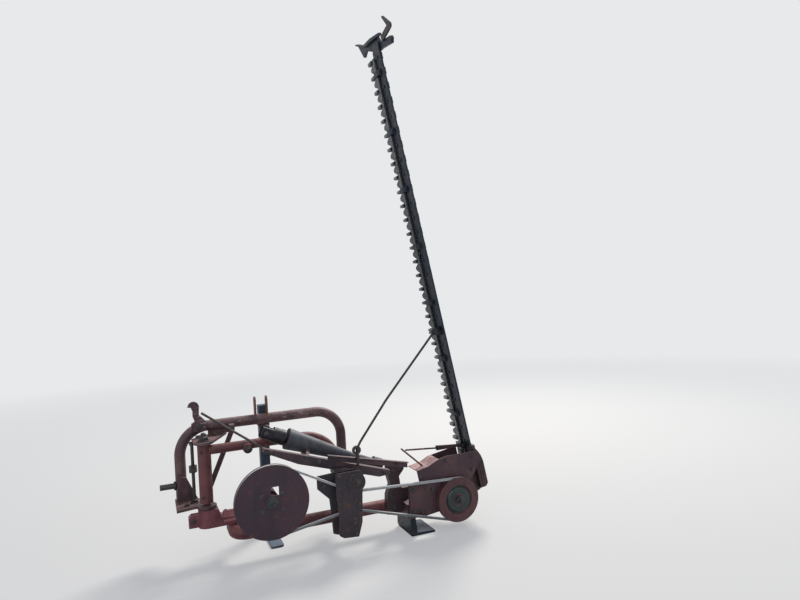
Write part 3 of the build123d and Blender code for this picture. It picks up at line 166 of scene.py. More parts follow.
def lamp(name, size, energy, colour, place, aim):
    """The light of a soft lamp that stands at its place, turned towards its aim."""
    light = bpy.data.lights.new(name, "AREA")
    light.size = size
    light.energy = energy
    light.color = colour
    stand = bpy.data.objects.new(name, light)
    bpy.context.scene.collection.objects.link(stand)
    stand.location = place
    stand.rotation_euler = (Vector(aim) - stand.location).to_track_quat("-Z", "Y").to_euler()
    return light


key = lamp("key", size=2.2, energy=430, colour=(1.0, 0.95, 0.88), place=(3.4, 3.2, 5.2), aim=(0, 0, 0.6))
key.shape = "DISK"
lamp("fill", size=4.5, energy=62, colour=(0.93, 0.96, 1.0), place=(-3.2, -5.2, 3.4), aim=(0, 0, 0.8))

# Hitch. The bent hoop, its plates and its ears are mild steel in red enamel, brush-painted over years of
# weather: chalky pink where the sun lies on it, brown in the seams, rubbed to the metal along the edges, and
# scuffed pale along the hoop's top tube.


def noise(material, place, scale, detail, rough, stretch=(1, 1, 1), shift=(0, 0, 0)):
    """Noise over the object's own coordinates, stretched along an axis where it runs in streaks."""
    mapping = shader_node(material, "ShaderNodeMapping", Scale=stretch, Location=shift)
    link(material, place, mapping.inputs["Vector"])
    texture = shader_node(material, "ShaderNodeTexNoise", Scale=scale, Detail=detail, Roughness=rough)
    link(material, mapping.outputs[0], texture.inputs["Vector"])
    return texture.outputs["Fac"]


def tint(material, amount, under, over):
    """Colour over laid on colour under by the amount; each is a socket or a colour."""
    blend = shader_node(material, "ShaderNodeMix")
    blend.data_type = "RGBA"
    link(material, amount, blend.inputs["Factor"])
    for socket, colour in ((blend.inputs[6], under), (blend.inputs[7], over)):
        if isinstance(colour, tuple):
            socket.default_value = (*colour, 1)
        else:
            link(material, colour, socket)
    return blend.outputs[2]


def part_of(material, vector, axis):
    """One axis of a vector socket."""
    split = shader_node(material, "ShaderNodeSeparateXYZ")
    link(material, vector, split.inputs[0])
    return split.outputs[axis]


def edges(material, width):
    """1 along sharp outer and inner corners, from the angle between the bevelled and the true normal."""
    rounded = shader_node(material, "ShaderNodeBevel", Radius=width)
    rounded.samples = 4
    flat = shader_node(material, "ShaderNodeNewGeometry")
    dot = shader_node(material, "ShaderNodeVectorMath")
    dot.operation = "DOT_PRODUCT"
    link(material, rounded.outputs[0], dot.inputs[0])
    link(material, flat.outputs["True Normal"], dot.inputs[1])
    return band(material, dot.outputs["Value"], 0.995, 0.90)


def facing_up(material):
    """1 on faces that look up, 0 on upright ones."""
    flat = shader_node(material, "ShaderNodeNewGeometry")
    return band(material, part_of(material, flat.outputs["Normal"], "Z"), 0.1, 0.9)


def bumps(material, shader, *layers):
    """Bump layers (height socket, depth in metres, strength) stacked on the shader's normal."""
    previous = None
    for height, depth, strength in layers:
        bump = shader_node(material, "ShaderNodeBump", Strength=strength, Distance=depth)
        link(material, height, bump.inputs["Height"])
        if previous is not None:
            link(material, previous, bump.inputs["Normal"])
        previous = bump.outputs[0]
    link(material, previous, shader.inputs["Normal"])


def enamel(name, paint, faded_and_painted_highlight, grime, rust=(0.16, 0.065, 0.035), bare=(0.30, 0.27, 0.25),
           rusty=0.5, worn=1.0, chalky=0.75, shift=(0, 0, 0)):
    """Old enamel: two depths of colour, dust and painted highlight on top, grime in blotches, rust spots, and
    rubbed edges.
    """
    material, shader, place = blank(name)
    broad = noise(material, place, scale=5.5, detail=8, rough=0.62, shift=shift)
    fine = noise(material, place, scale=42, detail=9, rough=0.68, shift=shift)
    grain = noise(material, place, scale=260, detail=4, rough=0.6)
    runs = noise(material, place, scale=26, detail=5, rough=0.6, stretch=(1, 1, 0.14), shift=shift)
    sunned = maths(material, "MULTIPLY", band(material, broad, 0.42, 0.66), chalky)
    # Dust on upward faces; where the fading colour is pale, as on the hood and the foot, it is a painted
    # highlight.
    dust_and_painted_highlight = maths(material, "MULTIPLY", facing_up(material), band(material, fine, 0.25, 0.7, 0.25, 0.95))
    colour = tint(material, maths(material, "ADD", sunned, dust_and_painted_highlight), paint, faded_and_painted_highlight)
    colour = tint(material, band(material, runs, 0.50, 0.74, to_high=0.75), colour, grime)
    fine_spots = band(material, fine, 0.60 - 0.07 * rusty, 0.66)
    spots = maths(material, "MULTIPLY", fine_spots, band(material, broad, 0.38, 0.6))
    colour = tint(material, spots, colour, rust)
    rubbing = band(material, fine, 0.38, 0.56, to_high=worn)
    rubbed = maths(material, "MULTIPLY", edges(material, width=0.0035), rubbing)
    edge_colour = tint(material, band(material, grain, 0.45, 0.6), rust, bare)
    link(material, tint(material, rubbed, colour, edge_colour), shader.inputs["Base Color"])
    uneven = band(material, broad, 0.3, 0.7, to_low=0.46, to_high=0.66)
    roughness = maths(material, "ADD", uneven, maths(material, "MULTIPLY", spots, 0.25))
    link(material, roughness, shader.inputs["Roughness"])
    link(material, maths(material, "MULTIPLY", rubbed, 0.6), shader.inputs["Metallic"])
    bumps(material, shader, (broad, 0.002, 0.5), (fine, 0.0007, 0.6), (grain, 0.0002, 0.5))
    return material


def lay_over(material, amount, over):
    """A colour laid by the amount over the one that the finished shader has."""
    base = material.node_tree.nodes["Principled BSDF"].inputs["Base Color"]
    link(material, tint(material, amount, base.links[0].from_socket, over), base)


def dress(material, *names):
    """Put one material in every slot of the named CAD nodes."""
    for name in names:
        for slot in node[name].material_slots:
            slot.material = material
        for polygon in node[name].data.polygons:
            polygon.material_index = 0


hoop_red = enamel(
    "hoop_enamel", paint=(0.060, 0.026, 0.034), faded_and_painted_highlight=(0.21, 0.125, 0.125), grime=(0.026, 0.022, 0.030),
)
scuff_depth = 0.040
scuff_fade = 0.012
scuff_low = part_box("hitch_hoop")[1].z - scuff_depth
hoop_place = shader_node(hoop_red, "ShaderNodeTexCoord").outputs["Object"]
scuff_rows = band(hoop_red, part_of(hoop_red, hoop_place, "Z"), scuff_low, scuff_low + scuff_fade)
scuff_marks = noise(
    hoop_red, hoop_place, scale=55, detail=8, rough=0.7, stretch=(0.55, 1, 2.0), shift=(2, 2, 7),
)
scuffs = maths(hoop_red, "MULTIPLY", scuff_rows, band(hoop_red, scuff_marks, 0.56, 0.62, to_high=0.75))
lay_over(hoop_red, scuffs, (0.40, 0.36, 0.35))
dress(hoop_red, "hitch_hoop", "upper_swing_plate", "lower_swing_plate")
dress(hoop_red, "brace_bar", "lift_lever", "stand_sleeve")
ear_red = enamel(
    "ear_enamel", paint=(0.055, 0.026, 0.030), faded_and_painted_highlight=(0.17, 0.09, 0.07), grime=(0.035, 0.024, 0.024),
    rust=(0.34, 0.12, 0.03), rusty=1.2, shift=(4, 1, 6),
)
dress(ear_red, "top_link_ears")

# Hitch pins, the threaded tie and the thin lift rod. Plain turned steel, dull brown with old rust and dark
# with grease. The pins stand out from the hoop's legs, and the rod runs from the hooked lever to the beam.


def old_steel(name, steel, rust, grease, rusty=0.5, shine=0.42, shift=(0, 0, 0)):
    """Unpainted steel: grey metal under a thin, uneven skin of rust and grease."""
    material, shader, place = blank(name)
    broad = noise(material, place, scale=11, detail=8, rough=0.62, shift=shift)
    fine = noise(material, place, scale=75, detail=9, rough=0.7, shift=shift)
    grain = noise(material, place, scale=380, detail=3, rough=0.6)
    skin = band(material, broad, 0.62 - 0.3 * rusty, 0.70 - 0.12 * rusty)
    colour = tint(material, maths(material, "MULTIPLY", skin, band(material, fine, 0.3, 0.6)), steel, rust)
    colour = tint(material, band(material, fine, 0.52, 0.70, to_high=0.8), colour, grease)
    rubbing = band(material, fine, 0.35, 0.55, to_high=0.8)
    rubbed = maths(material, "MULTIPLY", edges(material, width=0.002), rubbing)
    polished = tuple(min(1.0, shade * 1.7) for shade in steel)
    link(material, tint(material, rubbed, colour, polished), shader.inputs["Base Color"])
    link(material, band(material, skin, 0, 1, to_low=0.85, to_high=0.35), shader.inputs["Metallic"])
    roughness = band(material, fine, 0.3, 0.7, to_low=shine - 0.1, to_high=shine + 0.25)
    link(material, roughness, shader.inputs["Roughness"])
    bumps(material, shader, (fine, 0.0006, 0.55), (grain, 0.00015, 0.5))
    return material


pin_steel = old_steel(
    "pin_steel", steel=(0.075, 0.068, 0.072), rust=(0.075, 0.042, 0.034), grease=(0.024, 0.021, 0.024),
)
dress(pin_steel, "hitch_pins", "latch_tie", "lift_rod")

# Bolts of the hitch and nuts of the tie. Hex heads on washers, in the same dull steel. One bolt and one nut
# are modelled, and most others on the mower are copies of them. These hold the plates, the brace and the
# hooked lever.


def pick(piece, wanted):
    """Edit mode on the piece, with those faces selected for which wanted is true."""
    bpy.ops.object.select_all(action="DESELECT")
    piece.select_set(True)
    bpy.context.view_layer.objects.active = piece
    bpy.ops.object.mode_set(mode="EDIT")
    bpy.ops.mesh.select_mode(type="FACE")
    bpy.ops.mesh.select_all(action="DESELECT")
    bpy.ops.object.mode_set(mode="OBJECT")
    for face in piece.data.polygons:
        face.select = wanted(face)
    bpy.ops.object.mode_set(mode="EDIT")


def crown(piece, inset, rise):
    """Draw the piece's level top faces in and up."""
    pick(piece, lambda face: face.normal.z > 0.9)
    bpy.ops.mesh.inset(thickness=inset, depth=0)
    bpy.ops.transform.translate(value=(0, 0, rise))
    bpy.ops.object.mode_set(mode="OBJECT")


def stud(sides, radius, height, steps, base=0.0):
    """A round or many-sided stud from base upwards, with its top drawn in and up by each step."""
    centre = (0, 0, base + height / 2)
    piece = primitive("cylinder", vertices=sides, radius=radius, depth=height, location=centre)
    for inset, rise in steps:
        crown(piece, inset, rise)
    bpy.ops.object.transform_apply(location=True, rotation=True, scale=True)
    return piece


def join(name, pieces):
    """The pieces as one object at the origin."""
    bpy.ops.object.select_all(action="DESELECT")
    for piece in pieces:
        piece.select_set(True)
    bpy.context.view_layer.objects.active = pieces[0]
    if len(pieces) > 1:
        bpy.ops.object.join()
    whole = bpy.context.object
    bpy.ops.object.transform_apply(location=True, rotation=True, scale=True)
    whole.name = name
    whole.data.name = name
    return whole


def copies(name, model, places):
    """Copies of a model that stands on the origin, each at its place, along its direction and at its size."""
    made = []
    for place, direction, size in places:
        copy = model.copy()
        copy.data = model.data.copy()
        bpy.context.scene.collection.objects.link(copy)
        turn = direction.to_track_quat("Z", "Y").to_matrix().to_4x4()
        copy.matrix_world = Matrix.Translation(place) @ turn @ Matrix.Scale(size, 4)
        made.append(copy)
    return join(name, made)


def fit(piece, material, body, crease=35):
    """The piece's finish, its shading, and the body that it moves with."""
    bpy.ops.object.select_all(action="DESELECT")
    piece.select_set(True)
    bpy.context.view_layer.objects.active = piece
    bpy.ops.object.shade_smooth_by_angle(angle=radians(crease))
    piece.data.materials.clear()
    piece.data.materials.append(material)
    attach(piece, body)


def spot(station, forward, height):
    """A place measured from the head: to its right, forward from the belt, and up from the floor."""
    return Vector((head.x + station, head.y + forward, height))


def rear_of(name):
    """How far forward from the belt a node begins."""
    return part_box(name)[0].y - head.y


def on_top(face, size, *places):
    """Fasteners that stand on a level face, one at each station and forward place."""
    return [(spot(station, forward, face), upwards, size) for station, forward in places]


def on_rear(face, size, *places):
    """Fasteners on a face that looks to the rear, one at each station and height."""
    return [(spot(station, face, height), rearwards, size) for station, height in places]


upwards = Vector((0, 0, 1))
downwards = Vector((0, 0, -1))
rearwards = Vector((0, -1, 0))
hex_edge = [(0.0014, 0.0012)]
washer_thickness = 0.0018


def hex_on_washer():
    """A hex head and its washer, the two pieces that bolts and nuts share."""
    return [
        stud(sides=6, radius=0.0092, height=0.0066, steps=hex_edge, base=washer_thickness),
        stud(sides=18, radius=0.0118, height=washer_thickness, steps=[(0.0010, 0.0005)]),
    ]


bolt_model = join("bolt_model", hex_on_washer())
nut_pieces = hex_on_washer()
thread_end = stud(sides=12, radius=0.0050, height=0.0150, steps=[(0.0012, 0.0012)])
nut_model = join("nut_model", [*nut_pieces, thread_end])

plate_thickness = 0.012
lower_plate_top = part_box("lower_swing_plate")[0].z + plate_thickness
upper_plate_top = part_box("upper_swing_plate")[0].z + plate_thickness
lever_rear = 0.409
hitch_bolts = copies("hitch_bolts", bolt_model, [
    *on_top(upper_plate_top, 1.2, (-1.150, 0.405), (-1.225, 0.395)),
    *on_top(lower_plate_top, 1.3, (-1.300, 0.330)),
    *on_rear(rear_of("brace_bar"), 1.0, (-1.213, 0.283), (-1.066, 0.604)),
    *on_rear(lever_rear, 1.4, (-1.222, 0.622)),
])
fit(hitch_bolts, pin_steel, "hitch")
tie = middle("latch_tie")
tie_low, tie_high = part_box("latch_tie")
tie_nuts = copies("tie_nuts", nut_model, [
    (Vector((tie.x, tie.y, tie_low.z)), upwards, 1.7),
    (Vector((tie.x, tie.y, tie_high.z)), downwards, 1.5),
])
fit(tie_nuts, pin_steel, "hitch")

# Parking stand. A square steel leg with a long flat foot under it, in blue-grey paint that is rubbed along
# the edges. It slides up and down in its sleeve on the hoop.
stand_paint = enamel(
    "stand_enamel", paint=(0.022, 0.040, 0.070), faded_and_painted_highlight=(0.10, 0.15, 0.21), grime=(0.014, 0.020, 0.030),
    rusty=0.3,
)
dress(stand_paint, "parking_stand")

# Cap of the stand. A pressed steel lid with a domed top closes the leg's upper end against the rain, in the
# same paint, sunk a little into the leg.
stand_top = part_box("parking_stand")[1]
cap_size = (0.037, 0.039, 0.010)
cap_from_front = 0.025
cap_sunk = 0.006
cap_place = (middle("parking_stand").x, stand_top.y - cap_from_front, stand_top.z - cap_sunk)
stand_cap = primitive("cube", size=1, location=cap_place, scale=cap_size)
bpy.ops.object.transform_apply(location=True, rotation=True, scale=True)
crown(stand_cap, inset=0.004, rise=0.003)
stand_cap = join("stand_cap", [stand_cap])
fit(stand_cap, stand_paint, "stand")

# Swing frame. The post, the long pipe, the tube over it, the lift beam and the castings, in the same red. The
# beam, its channel, the cradles, the upright and the yoke are painted darker and bluer as painted shade,
# since they lie under the belt and the lift linkage. The foot casting's upward faces are painted pale as a
# painted highlight of sunlight, over real fading.
frame_red = enamel(
    "frame_enamel", paint=(0.085, 0.020, 0.026), faded_and_painted_highlight=(0.24, 0.085, 0.085), grime=(0.028, 0.018, 0.024),
    rusty=0.7, shift=(3.1, 0.4, 1.7),
)
dress(frame_red, "swivel_post", "main_pipe", "mid_tube", "input_bearing")
# Pale upward faces of the foot: a painted highlight of sunlight over real fading.
foot_red_painted_highlight = enamel(
    "foot_enamel_painted_highlight", paint=(0.110, 0.020, 0.032), faded_and_painted_highlight=(0.62, 0.25, 0.26), grime=(0.034, 0.020, 0.028),
    rusty=0.35, chalky=0.35, shift=(1, 5, 2),
)
dress(foot_red_painted_highlight, "post_foot")
# Darker, bluer red of the beam, channel and cradles: painted shade.
beam_red_painted_shade = enamel(
    "beam_enamel_painted_shade", paint=(0.038, 0.025, 0.036), faded_and_painted_highlight=(0.14, 0.085, 0.10), grime=(0.022, 0.020, 0.028),
    rusty=0.8, shift=(7, 2, 3),
)
dress(beam_red_painted_shade, "lift_beam", "upper_channel", "driveline_cradles")
# Darker, bluer red of the upright and yoke: painted shade.
casting_red_painted_shade = enamel(
    "casting_enamel_painted_shade", paint=(0.046, 0.023, 0.032), faded_and_painted_highlight=(0.15, 0.075, 0.085), grime=(0.020, 0.018, 0.024),
    rusty=0.9, shift=(2, 8, 5),
)
dress(casting_red_painted_shade, "upright", "head_yoke")

# Nuts and bolts of the swing frame. The post's top nut, the nuts of the lug, the saddle, the foot and the eye
# bolt, and the bolts of the latch, the beam, the channel, the upright and the yoke, in the same dull steel.
post = middle("swivel_post")
lug_rear = 0.261
saddle_top = 0.169
foot_top = 0.200
foot_plate_top = 0.196
eye_block_top = 0.379
frame_nuts = copies("frame_nuts", nut_model, [
    (Vector((post.x, post.y, upper_plate_top)), upwards, 2.5),
    *on_rear(lug_rear, 1.7, (-1.008, 0.512)),
    *on_top(saddle_top, 1.2, (-0.571, 0.192), (-0.523, 0.192), (-0.571, 0.244), (-0.523, 0.244)),
    *on_top(foot_top, 1.5, (-1.126, 0.300)),
    *on_top(foot_plate_top, 1.2, (-1.080, 0.300)),
    *on_top(eye_block_top, 1.3, (-0.521, 0.050)),
])
fit(frame_nuts, pin_steel, "swing_frame")
latch_rear = 0.280
beam_rear = rear_of("lift_beam")
channel_flange = 0.020
channel_web = rear_of("upper_channel") + channel_flange
upright_rear = rear_of("upright")
yoke_rear = rear_of("head_yoke")
frame_bolts = copies("frame_bolts", bolt_model, [
    *on_rear(latch_rear, 1.1, (-1.279, 0.197)),
    *on_rear(beam_rear, 1.1, (-0.930, 0.517)),
    *on_rear(beam_rear, 1.3, (-0.700, 0.437)),
    *on_rear(beam_rear, 1.2, (-0.362, 0.336)),
    *on_rear(channel_web, 1.0, (-0.600, 0.437), (-0.300, 0.367)),
    *on_rear(upright_rear, 1.2, (-0.308, 0.322), (-0.264, 0.326), (-0.318, 0.190), (-0.300, 0.130)),
    *on_rear(yoke_rear, 1.3, (-0.238, 0.238), (-0.238, 0.122)),
    *on_rear(yoke_rear, 1.1, (-0.192, 0.120)),
])
fit(frame_bolts, pin_steel, "swing_frame")

# Grease nipples. A hex foot, a neck and a round head in dull steel. Two are screwed into the post, facing
# back and to the left, and one into the top of the input bearing.
nipple_foot = stud(sides=6, radius=0.0062, height=0.006, steps=[(0.001, 0.0008)])
nipple_head = primitive("uv_sphere", segments=12, ring_count=8, radius=0.0040, location=(0, 0, 0.011))
nipple_neck = stud(sides=10, radius=0.0028, height=0.007, steps=[(0.0005, 0.0005)], base=0.005)
nipple_model = join("nipple_model", [nipple_foot, nipple_head, nipple_neck])
nipple_way = Vector((-0.5, -0.866, 0))
post_radius = 0.0315
post_face = post + nipple_way * post_radius
post_nipple_heights = (0.305, 0.522)
bearing_forward = 0.110
bearing_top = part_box("input_bearing")[1].z
bearing_nipple = Vector((middle("input_shaft").x, head.y + bearing_forward, bearing_top))
nipples = copies("grease_nipples", nipple_model, [
    *[(Vector((post_face.x, post_face.y, height)), nipple_way, 1.0) for height in post_nipple_heights],
    (bearing_nipple, upwards, 1.0),
])
fit(nipples, pin_steel, "swing_frame")

# Idler housing. Two red plates, painted near-black and blue-tinged as painted shade, with grease thrown by
# the belt, hold the two idlers between them on pins that end in a nut each, and small bolts go round their
# edge. The transport rod's eye bolt is bare.
# Near-black, blue-tinged red: painted shade, with some real grease.
housing_red_painted_shade = enamel(
    "housing_enamel_painted_shade", paint=(0.020, 0.018, 0.027), faded_and_painted_highlight=(0.056, 0.036, 0.046), grime=(0.009, 0.012, 0.018),
    rusty=0.35, shift=(4, 4, 9),
)
dress(housing_red_painted_shade, "idler_cover", "idler_bracket", "upper_idler", "lower_idler")
dress(pin_steel, "rod_eye_bolt")
upper_pin = middle("upper_idler")
lower_pin = middle("lower_idler")
boss_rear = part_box("idler_cover")[0].y
cover_rear = -0.024
bracket_rear = 0.020
housing_nuts = copies("housing_nuts", nut_model, [
    (Vector((upper_pin.x, boss_rear, upper_pin.z)), rearwards, 1.8),
    (Vector((lower_pin.x, head.y + cover_rear, lower_pin.z)), rearwards, 1.8),
])
fit(housing_nuts, pin_steel, "swing_frame")
cover_spots = ((-0.636, 0.384), (-0.638, 0.250), (-0.632, 0.118), (-0.560, 0.102), (-0.540, 0.240))
bracket_spots = ((-0.714, 0.368), (-0.700, 0.340))
housing_bolts = copies("housing_bolts", bolt_model, [
    *on_rear(cover_rear, 0.9, *cover_spots),
    *on_rear(bracket_rear, 0.9, *bracket_spots),
])
fit(housing_bolts, pin_steel, "swing_frame")

# Drive pulley. A flat steel disc in dull red, painted dark and blue-tinged as painted shade, with a bare
# round plate on its hub, four bolts in a ring, and the nut that holds it on the input shaft.


def rear_middle(name):
    """The middle of a node's rear face."""
    place = middle(name)
    place.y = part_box(name)[0].y
    return place


# Dark, blue-tinged red: painted shade over the disc's real red.
disc_red_painted_shade = enamel(
    "disc_enamel_painted_shade", paint=(0.042, 0.020, 0.034), faded_and_painted_highlight=(0.075, 0.036, 0.050), grime=(0.022, 0.018, 0.030),
    rusty=0.2, worn=0.7, shift=(6, 6, 1),
)
dress(disc_red_painted_shade, "drive_pulley")
hub_steel = old_steel(
    "hub_steel", steel=(0.070, 0.075, 0.080), rust=(0.075, 0.050, 0.042), grease=(0.022, 0.028, 0.032),
    rusty=0.3, shine=0.36, shift=(6, 2, 2),
)
dress(hub_steel, "input_shaft", "head_shaft")
disc_face = rear_middle("drive_pulley")
plate_model = stud(sides=48, radius=0.0275, height=0.005, steps=[(0.0015, 0.001)])
hub_plate = copies("hub_plate", plate_model, [(disc_face, rearwards, 1.0)])
fit(hub_plate, hub_steel, "drive_wheel")
hub_bolt_circle = 0.058
hub_bolts = copies("hub_bolts", bolt_model, [
    (disc_face + hub_bolt_circle * Vector((cos(angle), 0, sin(angle))), rearwards, 0.95)
    for angle in map(radians, (38, 142, 218, 322))
])
fit(hub_bolts, hub_steel, "drive_wheel")
shaft_nut = copies("shaft_nut", nut_model, [(rear_middle("input_shaft"), rearwards, 1.9)])
fit(shaft_nut, hub_steel, "drive_wheel")

# Driven pulley. Its rim is red, darkened a little as painted shade, and the pressed dish in it is dark
# green-black. A large nut holds it on the head's shaft.
# Rim red darkened a little: painted shade.
pulley_red_painted_shade = enamel(
    "pulley_enamel_painted_shade", paint=(0.075, 0.024, 0.030), faded_and_painted_highlight=(0.13, 0.055, 0.060), grime=(0.026, 0.022, 0.028),
    rusty=0.5, shift=(2, 2, 2),
)
dress(pulley_red_painted_shade, "driven_pulley")
dish_green = enamel(
    "dish_enamel", paint=(0.018, 0.036, 0.038), faded_and_painted_highlight=(0.050, 0.080, 0.078), grime=(0.020, 0.022, 0.024),
    rusty=0.3, worn=0.6, shift=(5, 3, 2),
)
dish_steps = [
    (0.0070, 0.0050), (0.0050, 0.0012), (0.0050, -0.0030),
    (0.0100, -0.0022), (0.0060, 0.0045), (0.0050, 0.0050),
]
dish_model = stud(sides=64, radius=0.0745, height=0.0012, steps=dish_steps)
web_rear = -0.0022
dish = copies("pulley_dish", dish_model, [(spot(0, web_rear, head.z), rearwards, 1.0)])
fit(dish, dish_green, "head_drive", crease=20)
head_nut = copies("head_nut", nut_model, [(rear_middle("head_shaft"), rearwards, 1.8)])
fit(head_nut, hub_steel, "head_drive")

# Belt. One long loop of rubber and canvas, dusty grey with pale frayed edges. Its upper run is painted
# paler than the lower one, as a painted highlight, and its upward faces near white, as painted sunlight.
belt_rubber, belt_shader, belt_place = blank("belt_rubber")
belt_grain = noise(belt_rubber, belt_place, scale=120, detail=6, rough=0.7)
belt_dust = noise(belt_rubber, belt_place, scale=9, detail=5, rough=0.6)
painted_light_starts, painted_light_ends = 0.19, 0.27
belt_height = part_of(belt_rubber, belt_place, "Z")
# Painted highlight: the belt is painted paler the higher it runs, for the light on its upper run.
painted_light_on_upper_run = band(belt_rubber, belt_height, painted_light_starts, painted_light_ends, to_high=0.8)
dusted = band(belt_rubber, belt_dust, 0.35, 0.65)
belt_colour = tint(belt_rubber, dusted, (0.085, 0.090, 0.092), (0.22, 0.23, 0.23))
belt_colour = tint(belt_rubber, painted_light_on_upper_run, belt_colour, (0.44, 0.45, 0.45))
# Painted sunlight: the belt's upward faces are painted near white.
belt_colour = tint(belt_rubber, facing_up(belt_rubber), belt_colour, (0.72, 0.73, 0.72))
belt_colour = tint(belt_rubber, edges(belt_rubber, width=0.002), belt_colour, (0.42, 0.42, 0.41))
link(belt_rubber, belt_colour, belt_shader.inputs["Base Color"])
belt_roughness = band(belt_rubber, belt_grain, 0.3, 0.7, to_low=0.6, to_high=0.9)
link(belt_rubber, belt_roughness, belt_shader.inputs["Roughness"])
bumps(belt_rubber, belt_shader, (belt_grain, 0.0006, 0.6))
dress(belt_rubber, "drive_belt")

# Head hood. Folded sheet in red, bolted to the head round its rim. Its dark, blue-tinged face is painted
# shade, and its upward faces are painted pale pink as a painted highlight of sunlight, over real chalky
# fading. It leans with the bar, so its bolts are placed along the bar and square to it.


def joint_axis(name):
    """The direction of a joint's axis."""
    joints = frame["record"]["behaviour"]["joints"]
    return Vector(next(joint["axis"] for joint in joints if joint["name"] == name))


def bar_spot(distance, lift, forward):
    """A place measured from the head: out along the bar, up off its working face, and forward."""
    return head + bar_out * distance + bar_up * lift + Vector((0, forward, 0))


# Dark blue-tinged face: painted shade. Pale fading colour on upward faces: a painted highlight of sunlight.
hood_red_painted_light = enamel(
    "hood_enamel_painted_light", paint=(0.050, 0.021, 0.032), faded_and_painted_highlight=(0.74, 0.44, 0.42), grime=(0.022, 0.019, 0.028),
    rusty=0.6, chalky=0.10, shift=(9, 1, 4),
)
dress(hood_red_painted_light, "head_hood")
bar_out = joint_axis("knife_stroke")
bar_up = bar_out.cross(Vector((0, 1, 0)))
bar_down = -bar_up
hood_rear = rear_of("head_hood")
hood_spots = (
    (0.092, 0.118, 1.0), (0.176, 0.168, 1.0), (0.206, 0.010, 1.0),
    (0.176, -0.150, 1.1), (0.112, -0.128, 1.1), (0.070, 0.020, 1.1),
)
hood_bolts = copies("hood_bolts", bolt_model, [
    (bar_spot(distance, lift, hood_rear), rearwards, size) for distance, lift, size in hood_spots
])
fit(hood_bolts, pin_steel, "bar_assembly")

# Cutter bar, shoes, guards and knife. Bare and greasy steel, nearly black, with the knife's back rubbed grey
# and the guards' points worn bright by the grass. A bolt goes through the bar and each guard, with its nut
# below, and at every fourth guard it holds a knife clip as well.
bar_steel = old_steel(
    "bar_steel", steel=(0.036, 0.046, 0.062), rust=(0.046, 0.034, 0.034), grease=(0.013, 0.017, 0.024),
    rusty=0.35, shine=0.38,
)
dress(bar_steel, "cutter_bar", "knife_clips", "outer_shoe", "rod_lug", "yoke_skid")
shoe_steel = old_steel(
    "shoe_steel", steel=(0.045, 0.036, 0.042), rust=(0.090, 0.038, 0.036), grease=(0.020, 0.016, 0.020),
    rusty=0.8, shift=(6, 3, 4),
)
dress(shoe_steel, "inner_shoe", "head_strap")
knife_steel = old_steel(
    "knife_steel", steel=(0.11, 0.115, 0.125), rust=(0.085, 0.055, 0.042), grease=(0.030, 0.031, 0.035),
    rusty=0.3, shine=0.3, shift=(5, 1, 1),
)
dress(knife_steel, "knife")
guard_steel = old_steel(
    "guard_steel", steel=(0.055, 0.058, 0.064), rust=(0.060, 0.038, 0.032), grease=(0.020, 0.021, 0.024),
    rusty=0.35, shine=0.35, shift=(1, 7, 3),
)
guard_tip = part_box("guards")[1].y
worn_length = 0.075
bright_length = 0.030
guard_place = shader_node(guard_steel, "ShaderNodeTexCoord").outputs["Object"]
guard_forward = part_of(guard_steel, guard_place, "Y")
guard_worn = band(guard_steel, guard_forward, guard_tip - worn_length, guard_tip - bright_length)
lay_over(guard_steel, guard_worn, (0.23, 0.235, 0.25))
dress(guard_steel, "guards")
dress(pin_steel, "grass_stick")


def guard_row(numbers, lift, forward, direction, size=1.0):
    """A place at each of the numbered guards, at one height off the bar's face and one distance forward."""
    return [
        (bar_spot(guard_first + number * guard_pitch, lift, forward), direction, size) for number in numbers
    ]


guard_count = 28
guard_pitch = 0.0762
guard_first = 0.250
clip_every = 4
clip_from = 2
plain_guards = [number for number in range(guard_count) if number % clip_every != clip_from]
clip_guards = range(clip_from, guard_count, clip_every)
bar_face = -0.150
clip_face = -0.145
guard_underside = -0.172
bolt_forward = 0.084
nut_forward = 0.080
round_head = stud(sides=10, radius=0.0088, height=0.0030, steps=[(0.0030, 0.0016)])
guard_bolts = copies("guard_bolts", round_head, guard_row(plain_guards, bar_face, bolt_forward, bar_up))
fit(guard_bolts, bar_steel, "bar_assembly")
clip_bolts = copies("clip_bolts", bolt_model, guard_row(clip_guards, clip_face, bolt_forward, bar_up, 0.95))
fit(clip_bolts, bar_steel, "bar_assembly")
strap_rear = rear_of("head_strap")
lug_bolts = copies("lug_bolts", bolt_model, [
    (bar_spot(0.223, -0.140, strap_rear), rearwards, 0.8),
    (bar_spot(0.262, 0.006, strap_rear), rearwards, 0.9),
])
fit(lug_bolts, bar_steel, "bar_assembly")
under_nut = stud(sides=6, radius=0.0090, height=0.0040, steps=hex_edge)
all_guards = range(guard_count)
guard_nuts = copies("guard_nuts", under_nut, guard_row(all_guards, guard_underside, nut_forward, bar_down))
fit(guard_nuts, bar_steel, "bar_assembly")

# Rivets of the knife. Two round steel heads hold each section to the back strip, rubbed bright with it. The
# sections next to a clip show none.
knife_first = guard_first - guard_pitch / 2
knife_top = -0.139
rivet_gap = 0.019
rivet_forward = 0.119
open_sections = [number for number in range(guard_count) if (number - clip_from) % clip_every not in (0, 1)]
rivet_head = stud(sides=8, radius=0.0048, height=0.0012, steps=[(0.0020, 0.0012)])
rivets = copies("knife_rivets", rivet_head, [
    (bar_spot(knife_first + number * guard_pitch + side * rivet_gap, knife_top, rivet_forward), bar_up, 1.0)
    for number in open_sections for side in (-1, 1)
])
fit(rivets, knife_steel, "knife")

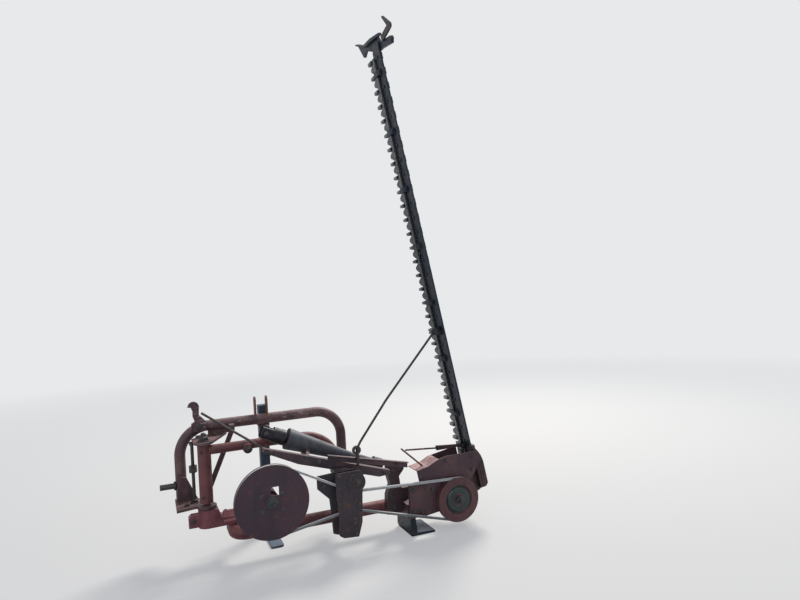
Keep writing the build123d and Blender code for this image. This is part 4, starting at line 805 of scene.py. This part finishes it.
# Transport rod. A long round steel rod, black with old paint, that hangs by its ring from the eye bolt and
# holds the folded bar up by a peg that lies against the bar's lug.
rod_steel = old_steel(
    "rod_steel", steel=(0.055, 0.050, 0.055), rust=(0.075, 0.042, 0.034), grease=(0.022, 0.021, 0.024),
    rusty=0.4, shift=(8, 3, 6),
)
dress(rod_steel, "transport_rod")

# Driveline. A sheet-metal tube with a bell mouth, in black paint gone grey, and its bare front yoke, stored
# on its cradles. Two turned arms make the joint's cross, with round caps at the ends that the yoke holds.
shield_paint = enamel(
    "shield_enamel", paint=(0.022, 0.026, 0.038), faded_and_painted_highlight=(0.10, 0.105, 0.125), grime=(0.016, 0.017, 0.023),
    rust=(0.13, 0.06, 0.04), rusty=0.6, shift=(3, 9, 2),
)
dress(shield_paint, "driveline_shield")
yoke_steel = old_steel(
    "yoke_steel", steel=(0.032, 0.033, 0.042), rust=(0.040, 0.028, 0.028), grease=(0.012, 0.013, 0.017),
    rusty=0.4, shift=(2, 5, 8),
)
dress(yoke_steel, "driveline_yoke")
line_up = joint_axis("driveline_telescope")
line_square = Vector((line_up.z, 0, -line_up.x))
line_mouth = spot(-0.825, 0.215, 0.546)
mouth_to_cross = 0.112
cross_middle = line_mouth + line_up * mouth_to_cross
forwards = Vector((0, 1, 0))
yoke_inside = 0.0255
cap_model = stud(sides=24, radius=0.0125, height=0.012, steps=[(0.0025, 0.0015)])
caps = copies("cross_caps", cap_model, [
    (cross_middle + forwards * yoke_inside, forwards, 1.0),
    (cross_middle + rearwards * yoke_inside, rearwards, 1.0),
])
cross_reach = 0.036
arm_length = 2 * cross_reach
arm_model = stud(sides=20, radius=0.0105, height=arm_length, steps=[(0.002, 0.0015)], base=-arm_length)
arms = copies("cross_arms", arm_model, [
    (cross_middle + forwards * cross_reach, forwards, 1.0),
    (cross_middle + line_square * cross_reach, line_square, 1.0),
])
cross = join("joint_cross", [caps, arms])
fit(cross, pin_steel, "driveline_front")

# Models. The fasteners that were only copied are taken away.
models = (
    bolt_model, nut_model, nipple_model, plate_model, dish_model,
    round_head, under_nut, rivet_head, cap_model, arm_model,
)
for model in models:
    bpy.data.objects.remove(model)
